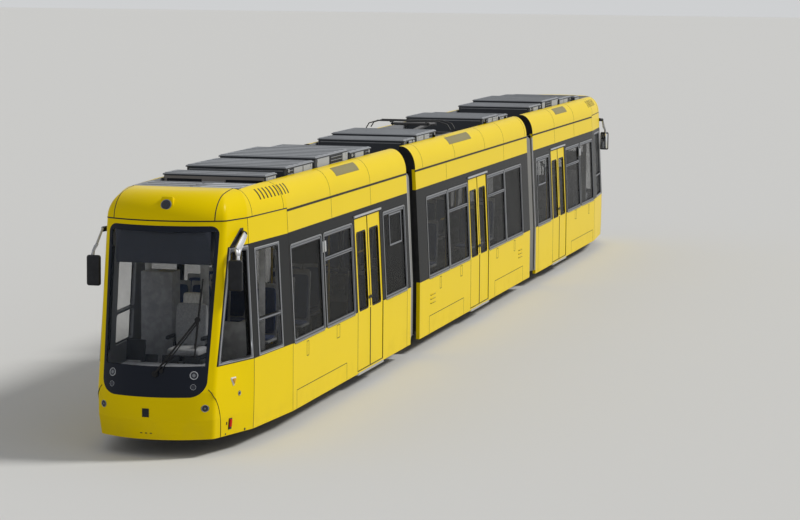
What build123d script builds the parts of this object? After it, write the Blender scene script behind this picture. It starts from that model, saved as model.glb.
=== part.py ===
from build123d import *
from collections import namedtuple
from math import cos, hypot, radians, sin, sqrt
import os

# Three-section articulated low-floor tram for metre gauge, with a cab at each end.
#
# X runs along the track, Y across it and Z up; the tram stands on its wheel flanges.
# Each section is drawn along u from its own front end and with heights above the rail
# top. The rear section is the front one turned half round about Z.

# Driving sizes, in mm
END_LENGTH = 9550
MID_LENGTH = 9260
GANGWAY = 620
HALF_WIDTH = 1150
TUMBLE = 100
WALL = 60
SEAT_GAP = 0.3
RUN_GAP = 0.05

# Heights above the rail top
SKIRT_Z = 220
NOSE_Z = 850
SILL_Z = 1170
BAND_Z = 2710
SEAM_Z = 3050
DECK_Z = 3180
ROOF_Z = 3430
LOW_FLOOR_Z = 350
HIGH_FLOOR_Z = 720
FLOOR_THICK = 55
CAB_FLOOR_U = 100

# Cab shape in plan
CAB_LENGTH = 2750
CREASE_U = 1250
CORNER_RADIUS = 110
FAIRING_IN = 250
FRONT_SLOPE = 2.0
TROUGH_HALF = 770
TROUGH_U = 1400
GROOVE_Z = 3018
GROOVE_HEIGHT = 16
GROOVE_DEPTH = 12

# Windscreen and its black lower panel
MASK_THICK = 40
MASK_LOW_Z = 790
MASK_TOP_Z = 2995
MASK_HALF_LOW = 715
MASK_HALF_TOP = 765
MASK_LOW_RADIUS = 210
MASK_TOP_RADIUS = 110
BUMPER_SEAM = [(200, 885), (276, 789), (370, 669), (442, 459), (490, 200)]
MARKER_RADIUS = 48
MARKER_V = 700
MARKER_Z = 640

# Side glass and doors
GLASS = 18
GLASS_INSET = 14
BAR_HEIGHT = 34
WINDOW_RADIUS = 50
WINDOW_LOW_Z = 1185
WINDOW_TOP_Z = 2510
VENT_BAR_Z = 2155
DOOR_THICK = 42
DOOR_WIDTH = 1520
DOOR_LOW_Z = 250
DOOR_TOP_Z = 2580
DOOR_STILE = 112
DOOR_GLASS_LOW_Z = 1170
DOOR_GLASS_TOP_Z = 2365
DOOR_INSET = 8
END_DOOR_BACK = 2570

# Window posts: behind the cab, between windows, beside the doors and at the gangways
CAB_POST = 100
END_POST = 160
END_DOOR_POSTS = (170, 215)
END_LAST_POST = 250
MID_FIRST_POST = 700
MID_POST = 85
MID_DOOR_POST = 80

# Cab interior, drawn in the side view, and the partition behind the driver
DESK_LINE = [(420, HIGH_FLOOR_Z), (1000, HIGH_FLOOR_Z), (1000, 1000), (780, 1130), (520, 1130),
             (420, 1000)]
DESK_HALF = 620
CHAIR_LINE = [(1330, 1150), (1800, 1150), (1900, 1900), (1830, 1900), (1740, 1230), (1330, 1230)]
CHAIR_HALF = 240
CHAIR_U = 1560
CHAIR_POST = 60
PARTITION_U = 2300
PARTITION_THICK = 35
PARTITION_IN = 130
PARTITION_RIB = 120
PARTITION_SILL_Z = 1500

# Outside mirrors
MIRROR_PATH = [(1090, 880, 2880), (980, 1000, 2866), (720, 985, 2680), (660, 1010, 2590),
               (630, 1010, 2540)]
MIRROR_U = 620
MIRROR_INNER = 888
MIRROR_WIDTH = 195
MIRROR_DEPTH = 75
MIRROR_TOP_Z = 2560
MIRROR_HEIGHT = 415
MIRROR_ARM_R = 22
MIRROR_BEND_R = 25

# Gangways
PORTAL_THICK = 70
PORTAL_HALF = 640
PORTAL_TOP_Z = 2480
BELLOWS_FOLDS = 8
BELLOWS_DEPTH = 70
BELLOWS_THICK = 45
BELLOWS_IN = 30
BELLOWS_LOW_Z = 290
BELLOWS_TOP_Z = 3020
PIVOT_PIN_R = 70
PIVOT_RING_R = 140
PIVOT_ARM_THICK = 34
PIVOT_ARM_HALF = 150
PIVOT_ARM_REACH = 500
PIVOT_LOW_Z = 225
PIVOT_PIN_BELOW = 5
TURNTABLE_GAP = 6

# Running gear
FLANGE_HEIGHT = 22
WHEEL_R = 295
WHEEL_WIDTH = 105
WHEEL_BACK = 465
FLANGE_WIDTH = 28
AXLE_R = 65
JOURNAL_R = 50
WHEELBASE = 1800
BOGIE_ROOM = 1450
END_LANDING = 570
MID_LANDING = 420
BOGIE_HALF = 1170
BEAM_IN = 640
BEAM_WIDTH = 100
BEAM_LOW_Z = 330
BEAM_TOP_Z = 440
AXLE_BOX_R = 105
TRANSOM_HALF = 230
BOLSTER_R = 260
KINGPIN_R = 80
KINGPIN_DEPTH = 150
SPRING_R = 85
SPRING_U = 380

# Pantograph, half scissor kind, stored low
ARM_LENGTH = 1500
ARM_REST = 3.0
PANTO_PIVOT_Z = 3410
LOWER_TUBE_R = 38
UPPER_TUBE_R = 22
ARM_PIN_R = 18
HEAD_SPAN = 330
STRIP_LENGTH = 1150
STRIP_SPACING = 340

# Places that follow from the sizes above
LENGTH = 2 * END_LENGTH + MID_LENGTH + 2 * GANGWAY
END_DOOR_U = END_LENGTH - END_DOOR_BACK
MID_DOOR_U = MID_LENGTH / 2
END_STEP_U = END_DOOR_U - DOOR_WIDTH / 2 - END_LANDING
MID_STEP_U = MID_DOOR_U - DOOR_WIDTH / 2 - MID_LANDING
END_BOGIE_U = END_STEP_U - BOGIE_ROOM
MID_BOGIE_U = MID_STEP_U - BOGIE_ROOM
PANTO_U = (MID_LENGTH - ARM_LENGTH) / 2
AXLE_Z = WHEEL_R
HIGH_UNDERSIDE_Z = HIGH_FLOOR_Z - FLOOR_THICK

Level = namedtuple("Level", "z front corner_back corner_in crease_u crease_in side_in")
Window = namedtuple("Window", "start end low top bar")
Unit = namedtuple("Unit", "start end inner outer height")
Row = namedtuple("Row", "u floor")

# Cab outline at each height: front tip, corner behind it, corner and crease inside the wall
CAB_LEVELS = [
    Level(SKIRT_Z, 70, 270, 370, CREASE_U, 115, 0),
    Level(480, 8, 290, 345, CREASE_U, 105, 0),
    Level(NOSE_Z, 0, 300, 338, CREASE_U, 100, 0),
    Level(SILL_Z, 70, 295, 335, CREASE_U, 100, 0),
    Level(SEAM_Z, 450, 250, 225, CREASE_U, 100, TUMBLE),
]
ROOF_STEPS = (0.0, 0.35, 0.65, 0.86, 0.96, 1.0)

CAB_WINDOW = [(445, 1215), (1185, 1215), (1185, 2640), (800, 2640)]
QUARTER_WINDOW = Window(1480, 2330, 1215, 2600, 1660)

# Roof cases: the last of each table keeps its distance from the far end of its section
END_UNITS = [
    Unit(1480, 2330, 30, 755, 235),
    Unit(2730, 3250, 0, 740, 320),
    Unit(3720, 5110, 0, 740, 360),
    Unit(5240, 7060, 0, 740, 400),
    Unit(7160, END_LENGTH - 1130, 0, 740, 350),
]
MID_UNITS = [
    Unit(420, 1180, 0, 740, 320),
    Unit(1300, 2720, 0, 740, 360),
    Unit(MID_LENGTH - 2710, MID_LENGTH - 1360, 0, 740, 360),
    Unit(MID_LENGTH - 1240, MID_LENGTH - 430, 0, 740, 320),
]
CASE_LID = 25
CASE_OVERHANG = 12
CASE_CHAMFER = 20
LID_CHAMFER = 10

# Seats
SEAT_DEPTH = 430
SEAT_HEIGHT = 430
SEAT_BACK = 760
SEAT_THICK = 60
SEAT_RAKE = 90
HIGH_ROW_PITCH = 830
LOW_ROW_PITCH = 770
CAB_ROW_GAP = 370
DOOR_ROW_GAP = 340
PORTAL_ROW_GAP = 100
PLATFORM_ROW_GAP = 600
AISLE_HALF = 290
SINGLE_SEAT = 440
SEAT_STAND = 60
POLE_R = 18
POLE_GAP = 60
POLE_V = 700


def side_y(z, inset=0.0):
    """Half width of the outside of the body at height z, less an inset."""
    lean = TUMBLE * max(0.0, z - SILL_Z) / (SEAM_Z - SILL_Z)
    return HALF_WIDTH - lean - inset


def solids(shape):
    return list(shape.solids())


def as_compound(items):
    parts = []
    for item in items:
        parts += solids(item)
    return Compound(children=parts)


def box(u0, u1, v0, v1, z0, z1):
    """A block between two corners."""
    return Pos((u0 + u1) / 2, (v0 + v1) / 2, (z0 + z1) / 2) * Box(u1 - u0, v1 - v0, z1 - z0)


def across(points, half):
    """A prism of a side view outline, reaching the same way to both sides."""
    outline = Polyline([(u, 0, z) for u, z in points], close=True)
    return extrude(make_face(outline), amount=half, dir=(0, 1, 0), both=True)


def window_hole(u0, u1, z0, z1, radius=WINDOW_RADIUS):
    """Rounded prism through both side walls."""
    sketch = RectangleRounded(u1 - u0, z1 - z0, min(radius, (z1 - z0) / 3))
    face = Plane.XZ * Pos((u0 + u1) / 2, (z0 + z1) / 2) * sketch
    return extrude(face, amount=2 * HALF_WIDTH, both=True)


def rod(start, end, radius):
    """A round bar between two points."""
    line = Vector(*end) - Vector(*start)
    plane = Plane(origin=start, z_dir=line)
    return extrude(plane * Circle(radius), amount=line.length)


def meet(p, d, q, e):
    """Where two lines in plan cross."""
    cross = d[0] * e[1] - d[1] * e[0]
    t = ((q[0] - p[0]) * e[1] - (q[1] - p[1]) * e[0]) / cross
    return (p[0] + t * d[0], p[1] + t * d[1])


def cab_plan(level, inset=0.0, rear=CAB_LENGTH):
    """Plan of the cab at one height: bowed front, rounded corners and two facets a side."""
    side = HALF_WIDTH - level.side_in
    corner = (level.front + level.corner_back, side - level.corner_in)
    crease = (level.crease_u, side - level.crease_in)
    shoulder = (CAB_LENGTH, side)
    bow = corner[0] - level.front
    radius = (bow ** 2 + corner[1] ** 2) / (2 * bow)
    centre_u = level.front + radius

    def moved(p, q):
        length = hypot(q[0] - p[0], q[1] - p[1])
        d = ((q[0] - p[0]) / length, (q[1] - p[1]) / length)
        return (p[0] + inset * d[1], p[1] - inset * d[0]), d

    line_a, dir_a = moved(corner, crease)
    line_b, dir_b = moved(crease, shoulder)
    inner_crease = meet(line_a, dir_a, line_b, dir_b)
    inner_shoulder = meet(line_b, dir_b, (shoulder[0], side - inset), (1, 0))
    r = radius - inset
    b = (line_a[0] - centre_u) * dir_a[0] + line_a[1] * dir_a[1]
    c = (line_a[0] - centre_u) ** 2 + line_a[1] ** 2 - r ** 2
    t = min(-b - sqrt(b * b - c), -b + sqrt(b * b - c), key=abs)
    inner_corner = (line_a[0] + t * dir_a[0], line_a[1] + t * dir_a[1])
    front = (centre_u - r, 0)

    pts = [inner_corner, inner_crease, inner_shoulder]
    if rear > CAB_LENGTH:
        pts.append((rear, side - inset))
    left = [(u, v) for u, v in pts]
    right = [(u, -v) for u, v in reversed(pts)]
    ring = left + right
    edges = [Line(a, b) for a, b in zip(ring[:-1], ring[1:])]
    edges.append(ThreePointArc(right[-1], front, left[0]))
    face = make_face(edges)
    corners = [v for v in face.vertices()
               if abs(v.X - inner_corner[0]) < 0.01 and abs(abs(v.Y) - inner_corner[1]) < 0.01]
    return Pos(0, 0, level.z) * fillet(corners, CORNER_RADIUS - inset * 0.6)


def cab_block(inset=0.0):
    """The solid inside the cab's outer surface, moved in by an inset."""
    lofts = []
    for low, high in zip(CAB_LEVELS[:-1], CAB_LEVELS[1:]):
        lofts.append(loft([cab_plan(low, inset), cab_plan(high, inset)], ruled=True))
    block = lofts[0]
    for part in lofts[1:]:
        block += part
    return block


def wall(u0, u1, z0, z1, outer=0.0, thick=WALL):
    """Both straight side walls between two heights, following the lean of the body."""
    heights = [z0] + ([SILL_Z] if z0 < SILL_Z < z1 else []) + [z1]
    outline = [(u0, side_y(z, outer), z) for z in heights]
    outline += [(u0, side_y(z, outer + thick), z) for z in reversed(heights)]
    left = extrude(make_face(Polyline(outline, close=True)), amount=u1 - u0, dir=(1, 0, 0))
    return [left, mirror(left, about=Plane.XZ)]


def mask_prism(grow=0.0):
    """Outline of the windscreen seen from the front, as a prism along the track."""
    low, top = MASK_LOW_Z - grow, MASK_TOP_Z + grow
    a, b = MASK_HALF_LOW + grow, MASK_HALF_TOP + grow
    face = make_face(Polyline([(0, -a, low), (0, a, low), (0, b, top), (0, -b, top)], close=True))
    lows = [v for v in face.vertices() if v.Z < (low + top) / 2]
    face = fillet(lows, MASK_LOW_RADIUS)
    tops = [v for v in face.vertices() if v.Z > top - 1]
    face = fillet(tops, MASK_TOP_RADIUS)
    return extrude(face, amount=1000, dir=(1, 0, 0), both=True)


def cab_pieces():
    """Cab shell, bumper, windscreen and side glass; the right half is cut and mirrored."""
    outer = cab_block()
    screen = (outer - cab_block(MASK_THICK)) & (mask_prism() & box(-100, 1000, -900, 900, 0, SEAM_Z))
    right = box(-200, CAB_LENGTH + 10, -2000, 0, 0, SEAM_Z + 10)
    shell = (outer - cab_block(WALL)) & right
    shell -= mask_prism() & box(-200, 1000, -900, 900, 0, SEAM_Z)
    seam = Spline(*[(u, 0, z) for u, z in BUMPER_SEAM])
    ahead = Polyline((seam @ 1), (-100, 0, BUMPER_SEAM[-1][1]), (-100, 0, BUMPER_SEAM[0][1]), (seam @ 0))
    bumper_zone = extrude(make_face([seam, ahead]), amount=HALF_WIDTH, dir=(0, 1, 0), both=True)
    bumper = shell & bumper_zone
    shell -= bumper_zone
    side_hole = extrude(fillet(make_face(Polyline([(u, 0, z) for u, z in CAB_WINDOW],
                                                  close=True)).vertices(), WINDOW_RADIUS),
                        amount=2 * HALF_WIDTH, dir=(0, 1, 0), both=True)
    q = QUARTER_WINDOW
    holes = [side_hole,
             window_hole(q.start, q.end, q.low, q.bar - BAR_HEIGHT / 2),
             window_hole(q.start, q.end, q.bar + BAR_HEIGHT / 2, q.top)]
    panes = []
    for hole in holes:
        shell -= hole
        pane = (cab_block(GLASS_INSET) & (hole & right)) - cab_block(GLASS_INSET + GLASS)
        panes += [pane, mirror(pane, about=Plane.XZ)]
    shell += mirror(shell, about=Plane.XZ)
    bumper += mirror(bumper, about=Plane.XZ)
    return shell, bumper, screen, panes


def window_run(start, end, post, bars):
    """Equal windows with posts between them, one for each entry of bars."""
    width = (end - start - (len(bars) - 1) * post) / len(bars)
    starts = [start + i * (width + post) for i in range(len(bars))]
    return [Window(u, u + width, WINDOW_LOW_Z, WINDOW_TOP_Z, bar) for u, bar in zip(starts, bars)]


def end_windows():
    before, after = END_DOOR_U - DOOR_WIDTH / 2, END_DOOR_U + DOOR_WIDTH / 2
    front = window_run(CAB_LENGTH + CAB_POST, before - END_DOOR_POSTS[0], END_POST, (None, VENT_BAR_Z))
    return front + window_run(after + END_DOOR_POSTS[1], END_LENGTH - END_LAST_POST, END_POST, (None,))


def mid_windows():
    last = MID_DOOR_U - DOOR_WIDTH / 2 - MID_DOOR_POST
    front = window_run(MID_FIRST_POST, last, MID_POST, (None, VENT_BAR_Z))
    return front + [Window(MID_LENGTH - w.end, MID_LENGTH - w.start, w.low, w.top, w.bar)
                    for w in reversed(front)]


def side_glass(windows):
    panes = []
    for w in windows:
        spans = [(w.low, w.top)]
        if w.bar:
            spans = [(w.low, w.bar - BAR_HEIGHT / 2), (w.bar + BAR_HEIGHT / 2, w.top)]
        for z0, z1 in spans:
            hole = window_hole(w.start, w.end, z0, z1)
            for side in wall(w.start - 5, w.end + 5, z0 - 5, z1 + 5, GLASS_INSET, GLASS):
                panes.append((hole, side & hole))
    return panes


def side_panels(u0, u1, door_u):
    """Lower side panels cut by the doors, and the cantrail panels with their gutter."""
    door = box(door_u - DOOR_WIDTH / 2, door_u + DOOR_WIDTH / 2, -2000, 2000, DOOR_LOW_Z, DOOR_TOP_Z)
    items = [side - door for side in wall(u0, u1, SKIRT_Z, SILL_Z)]
    groove = box(u0, u1, -2000, 2000, GROOVE_Z, GROOVE_Z + GROOVE_HEIGHT)
    core = box(u0 - 1, u1 + 1, -side_y(GROOVE_Z, GROOVE_DEPTH), side_y(GROOVE_Z, GROOVE_DEPTH),
               GROOVE_Z - 5, GROOVE_Z + GROOVE_HEIGHT + 5)
    items += [side - (groove - core) for side in wall(u0, u1, BAND_Z, SEAM_Z)]
    return items


def window_band(u0, u1, windows, door_u, portals):
    """Dark window band of both sides with the gangway portals at the open ends."""
    door = box(door_u - DOOR_WIDTH / 2, door_u + DOOR_WIDTH / 2, -2000, 2000, DOOR_LOW_Z, DOOR_TOP_Z)
    items = []
    for side in wall(u0, u1, SILL_Z, BAND_Z):
        side -= door
        for hole, pane in side_glass(windows):
            side -= hole
        items.append(side)
    for u in portals:
        items += portal(u)
    return items


def portal(u):
    """Gangway frame: two posts that follow the side walls, and the header over them."""
    items = []
    for low, top, inner in ((LOW_FLOOR_Z, PORTAL_TOP_Z, PORTAL_HALF), (PORTAL_TOP_Z, SEAM_Z, None)):
        heights = [low] + ([SILL_Z] if low < SILL_Z < top else []) + [top]
        edge = [(u, side_y(z, WALL), z) for z in heights]
        if inner is None:
            outline = edge + [(u, -v, z) for u, v, z in reversed(edge)]
            header = make_face(Polyline(outline, close=True))
            items.append(extrude(header, amount=PORTAL_THICK, dir=(1, 0, 0)))
        else:
            outline = edge + [(u, inner, top), (u, inner, low)]
            post = extrude(make_face(Polyline(outline, close=True)), amount=PORTAL_THICK, dir=(1, 0, 0))
            items += [post, mirror(post, about=Plane.XZ)]
    return items


def doors(door_u):
    """Two plug leaves on each side, with their glass."""
    leaves, panes = [], []
    edge = DOOR_WIDTH / 2 - SEAT_GAP
    for sign in (-1, 1):
        near, far = door_u + sign * SEAT_GAP, door_u + sign * edge
        u0, u1 = min(near, far), max(near, far)
        hole = window_hole(u0 + DOOR_STILE, u1 - DOOR_STILE, DOOR_GLASS_LOW_Z, DOOR_GLASS_TOP_Z)
        for side in wall(u0, u1, DOOR_LOW_Z + SEAT_GAP, DOOR_TOP_Z - SEAT_GAP, DOOR_INSET, DOOR_THICK):
            leaves.append(side - hole)
        for side in wall(u0, u1, DOOR_GLASS_LOW_Z - 5, DOOR_GLASS_TOP_Z + 5,
                         DOOR_INSET + GLASS_INSET, GLASS):
            panes.append(side & hole)
    return leaves, panes


def roof_levels():
    base = CAB_LEVELS[-1]
    for step in ROOF_STEPS:
        inward = FAIRING_IN * (1 - sqrt(1 - step ** 2))
        yield Level(SEAM_Z + step * (ROOF_Z - SEAM_Z), base.front + FRONT_SLOPE * inward,
                    base.corner_back, base.corner_in, base.crease_u + inward, base.crease_in,
                    base.side_in + inward)


def cab_roof():
    """Domed roof over the cab, up to the straight part of the section."""
    return loft([cab_plan(level) for level in roof_levels()])


def roof_run(dome, length):
    """Straight roof with the cross-section that the dome ends in."""
    profile = dome.faces().sort_by(Axis.X)[-1]
    return extrude(profile, amount=length, dir=(1, 0, 0))


def end_roof(dome):
    """Roof of an end section: dome, side fairings and the sunken deck between them."""
    roof = dome + roof_run(dome, END_LENGTH - CAB_LENGTH)
    return roof - box(TROUGH_U, END_LENGTH + 10, -TROUGH_HALF, TROUGH_HALF, DECK_Z, ROOF_Z + 10)


def mid_roof(dome):
    """Roof of the middle section, with the same fairings."""
    roof = Pos(-CAB_LENGTH, 0, 0) * roof_run(dome, MID_LENGTH)
    return roof - box(-10, MID_LENGTH + 10, -TROUGH_HALF, TROUGH_HALF, DECK_Z, ROOF_Z + 10)


def floor_plate(u0, u1, top):
    half = side_y(0, WALL)
    return box(u0, u1, -half, half, top - FLOOR_THICK, top)


def riser(u, thick):
    """Upright of a step in the floor, under the edge of the raised part."""
    half = side_y(0, WALL)
    return box(min(u, u + thick), max(u, u + thick), -half, half, LOW_FLOOR_Z - FLOOR_THICK,
               HIGH_UNDERSIDE_Z)


def kingpin(u):
    return Pos(u, 0, HIGH_UNDERSIDE_Z - KINGPIN_DEPTH / 2) * Cylinder(KINGPIN_R, KINGPIN_DEPTH)


def end_floor():
    """Raised floor over the cab and bogie, low floor at the door and the coupling arm."""
    half = side_y(0, WALL)
    inside = cab_block(WALL + SEAT_GAP) + box(CAB_LENGTH, END_LENGTH + 10, -half, half, 0, SEAM_Z)
    high = floor_plate(CAB_FLOOR_U, END_STEP_U, HIGH_FLOOR_Z) & inside
    pivot_u = END_LENGTH + GANGWAY / 2
    arm_u = END_LENGTH - PIVOT_ARM_REACH
    arm = box(arm_u, pivot_u, -PIVOT_ARM_HALF, PIVOT_ARM_HALF, PIVOT_LOW_Z, PIVOT_LOW_Z + PIVOT_ARM_THICK)
    arm += Pos(pivot_u, 0, PIVOT_LOW_Z + PIVOT_ARM_THICK / 2) * Cylinder(PIVOT_RING_R, PIVOT_ARM_THICK)
    arm -= Pos(pivot_u, 0, PIVOT_LOW_Z) * Cylinder(PIVOT_PIN_R + RUN_GAP, 4 * PIVOT_ARM_THICK)
    web = box(arm_u, END_LENGTH - PORTAL_THICK, -PIVOT_ARM_HALF, PIVOT_ARM_HALF,
              PIVOT_LOW_Z + PIVOT_ARM_THICK, LOW_FLOOR_Z - FLOOR_THICK)
    return [high, riser(END_STEP_U, -FLOOR_THICK), floor_plate(END_STEP_U, END_LENGTH, LOW_FLOOR_Z),
            kingpin(END_BOGIE_U), arm, web]


def mid_floor():
    """Floor of the middle section, with the turntable plates and pivot pins of both gangways."""
    platform_u = MID_BOGIE_U - BOGIE_ROOM
    disc_r = GANGWAY / 2 - TURNTABLE_GAP
    low = LOW_FLOOR_Z - FLOOR_THICK
    pin_low = PIVOT_LOW_Z - PIVOT_PIN_BELOW
    half = [floor_plate(0, platform_u, LOW_FLOOR_Z), riser(platform_u, FLOOR_THICK),
            floor_plate(platform_u, MID_STEP_U, HIGH_FLOOR_Z), riser(MID_STEP_U, -FLOOR_THICK),
            kingpin(MID_BOGIE_U)]
    disc = Pos(-GANGWAY / 2, 0, (low + LOW_FLOOR_Z) / 2) * Cylinder(disc_r, FLOOR_THICK)
    half.append(disc + box(-GANGWAY / 2, 0, -disc_r, disc_r, low, LOW_FLOOR_Z))
    half.append(Pos(-GANGWAY / 2, 0, (pin_low + low) / 2) * Cylinder(PIVOT_PIN_R, low - pin_low))
    turned = [Pos(MID_LENGTH, 0, 0) * Rot(0, 0, 180) * piece for piece in half]
    return half + turned + [floor_plate(MID_STEP_U, MID_LENGTH - MID_STEP_U, LOW_FLOOR_Z)]


def bellows(u0):
    """Folded gangway bellows between two sections."""
    width = GANGWAY - 2 * SEAT_GAP
    pitch = width / (2 * BELLOWS_FOLDS + 1)
    rings = None
    for i in range(2 * BELLOWS_FOLDS + 1):
        deep = BELLOWS_IN if i % 2 == 0 else BELLOWS_IN + BELLOWS_DEPTH
        thick = BELLOWS_THICK + BELLOWS_DEPTH - (deep - BELLOWS_IN)
        start = u0 + SEAT_GAP + i * pitch
        heights = [BELLOWS_LOW_Z, SILL_Z, BELLOWS_TOP_Z - (deep - BELLOWS_IN)]
        outline = [(start, side_y(z, deep), z) for z in heights]
        outline += [(start, -side_y(z, deep), z) for z in reversed(heights)]
        ring = extrude(make_face(Polyline(outline, close=True)), amount=pitch, dir=(1, 0, 0))
        inner = BELLOWS_IN + BELLOWS_DEPTH + BELLOWS_THICK
        top = BELLOWS_TOP_Z - BELLOWS_DEPTH - BELLOWS_THICK
        heights = [BELLOWS_LOW_Z - 10, SILL_Z, top]
        outline = [(start, side_y(z, inner), z) for z in heights]
        outline += [(start, -side_y(z, inner), z) for z in reversed(heights)]
        ring -= extrude(make_face(Polyline(outline, close=True)), amount=pitch, dir=(1, 0, 0))
        rings = ring if rings is None else rings + ring
    return rings


def units(table):
    """Roof equipment cases with their lids, seated on the deck."""
    items = []
    for unit in table:
        spans = [(-unit.outer, unit.outer)]
        if unit.inner:
            spans = [(-unit.outer, -unit.inner), (unit.inner, unit.outer)]
        lid_z, top = DECK_Z + unit.height - CASE_LID, DECK_Z + unit.height
        for v0, v1 in spans:
            case = box(unit.start, unit.end, v0, v1, DECK_Z, lid_z)
            case = chamfer(case.edges().filter_by(Axis.Z), CASE_CHAMFER)
            lid = box(unit.start - CASE_OVERHANG, unit.end + CASE_OVERHANG, v0 - CASE_OVERHANG,
                      v1 + CASE_OVERHANG, lid_z, top)
            items.append(case + chamfer(lid.edges().group_by(Axis.Z)[-1], LID_CHAMFER))
    return items


def row_places(start, end, pitch, floor):
    """Seat rows that fit between two places."""
    count = int((end - start - SEAT_DEPTH - SEAT_RAKE) // pitch) + 1
    return [Row(start + i * pitch, floor) for i in range(count)]


def seat_rows(rows, half):
    """Double seats on one side of the aisle and single seats on the other."""
    items = []
    for row in rows:
        for v0, v1 in ((AISLE_HALF, half - 15), (-AISLE_HALF - SINGLE_SEAT, -AISLE_HALF)):
            z = row.floor + SEAT_HEIGHT
            u = row.u
            outline = [(u, z - SEAT_THICK), (u + SEAT_DEPTH, z - SEAT_THICK),
                       (u + SEAT_DEPTH + SEAT_RAKE, z + SEAT_BACK),
                       (u + SEAT_DEPTH + SEAT_RAKE - SEAT_THICK, z + SEAT_BACK),
                       (u + SEAT_DEPTH - SEAT_THICK, z), (u, z)]
            face = make_face(Polyline([(a, v0, b) for a, b in outline], close=True))
            shell = extrude(face, amount=v1 - v0, dir=(0, 1, 0))
            middle = (v0 + v1) / 2
            stand_u = u + SEAT_DEPTH / 2 - SEAT_STAND / 2
            shell += box(stand_u, stand_u + SEAT_STAND, middle - SEAT_STAND, middle + SEAT_STAND,
                         row.floor, z - SEAT_THICK)
            items.append(shell)
    return items


def poles(door_u):
    """Grab poles on both sides of the doors, from the low floor to the ceiling."""
    height = SEAM_Z - LOW_FLOOR_Z
    reach = DOOR_WIDTH / 2 + POLE_GAP
    return [Pos(door_u + a * reach, b * POLE_V, LOW_FLOOR_Z + height / 2) * Cylinder(POLE_R, height)
            for a in (-1, 1) for b in (-1, 1)]


def cab_inside():
    """Driver's desk, seat and the partition behind the driver."""
    half = side_y(BAND_Z, WALL) - PARTITION_IN
    desk = across(DESK_LINE, DESK_HALF)
    chair = across(CHAIR_LINE, CHAIR_HALF)
    chair += box(CHAIR_U - CHAIR_POST, CHAIR_U + CHAIR_POST, -CHAIR_POST, CHAIR_POST, HIGH_FLOOR_Z,
                 CHAIR_LINE[0][1])
    back = PARTITION_U + PARTITION_THICK
    partition = box(PARTITION_U, back, -half, half, HIGH_FLOOR_Z, SEAM_Z)
    for v0, v1 in ((PARTITION_RIB - half, -PARTITION_RIB / 2), (PARTITION_RIB / 2, half - PARTITION_RIB)):
        partition -= box(PARTITION_U - 10, back + 10, v0, v1, PARTITION_SILL_Z, BAND_Z - 10)
    return [desk, chair, partition]


def mirrors():
    """Outside mirrors on bent arms that are bolted to the cab below its roof corners."""
    bar = None
    for a, b in zip(MIRROR_PATH[:-1], MIRROR_PATH[1:]):
        piece = rod(a, b, MIRROR_ARM_R) + Pos(*b) * Sphere(MIRROR_BEND_R)
        bar = piece if bar is None else bar + piece
    head = box(MIRROR_U - MIRROR_DEPTH / 2, MIRROR_U + MIRROR_DEPTH / 2, MIRROR_INNER,
               MIRROR_INNER + MIRROR_WIDTH, MIRROR_TOP_Z - MIRROR_HEIGHT, MIRROR_TOP_Z)
    head = fillet(head.edges().filter_by(Axis.X), MIRROR_DEPTH / 2 - 5)
    head = fillet(head.edges().filter_by(Axis.Z), MIRROR_DEPTH / 3)
    left = (bar + head) - cab_block()
    return [left, mirror(left, about=Plane.XZ)]


def lamp_places():
    return [(v * s, z, r) for v, z, r in ((560, 1075, 55), (560, 925, 40)) for s in (-1, 1)]


def lamp(v, z, r, grow=0.0):
    return Pos(200, v, z) * Rot(0, 90, 0) * Cylinder(r + grow, 800)


def wheelset(u):
    """Axle with both wheels: tread, flange, dished web and hub turned in one profile."""
    back, face = WHEEL_BACK, WHEEL_BACK + WHEEL_WIDTH + FLANGE_WIDTH
    tip = WHEEL_R + FLANGE_HEIGHT
    wheel = [(0, back - 15), (110, back - 15), (110, back + 25), (WHEEL_R - 65, back + 40),
             (WHEEL_R - 65, back), (tip - 8, back), (tip, back + 9), (tip - 4, back + 20),
             (WHEEL_R, back + FLANGE_WIDTH), (WHEEL_R - 4, face), (WHEEL_R - 60, face),
             (WHEEL_R - 70, back + 75), (110, back + 60), (110, face), (0, face)]
    profile = make_face(Polyline([(r, v, 0) for r, v in wheel], close=True))
    one = revolve(profile, axis=Axis.Y)
    axle = Rot(90, 0, 0) * Cylinder(AXLE_R, 2 * face - 20)
    axle += Rot(90, 0, 0) * Cylinder(JOURNAL_R, 2 * (BEAM_IN + BEAM_WIDTH))
    return Pos(u, 0, AXLE_Z) * (one + mirror(one, about=Plane.XZ) + axle)


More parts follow.
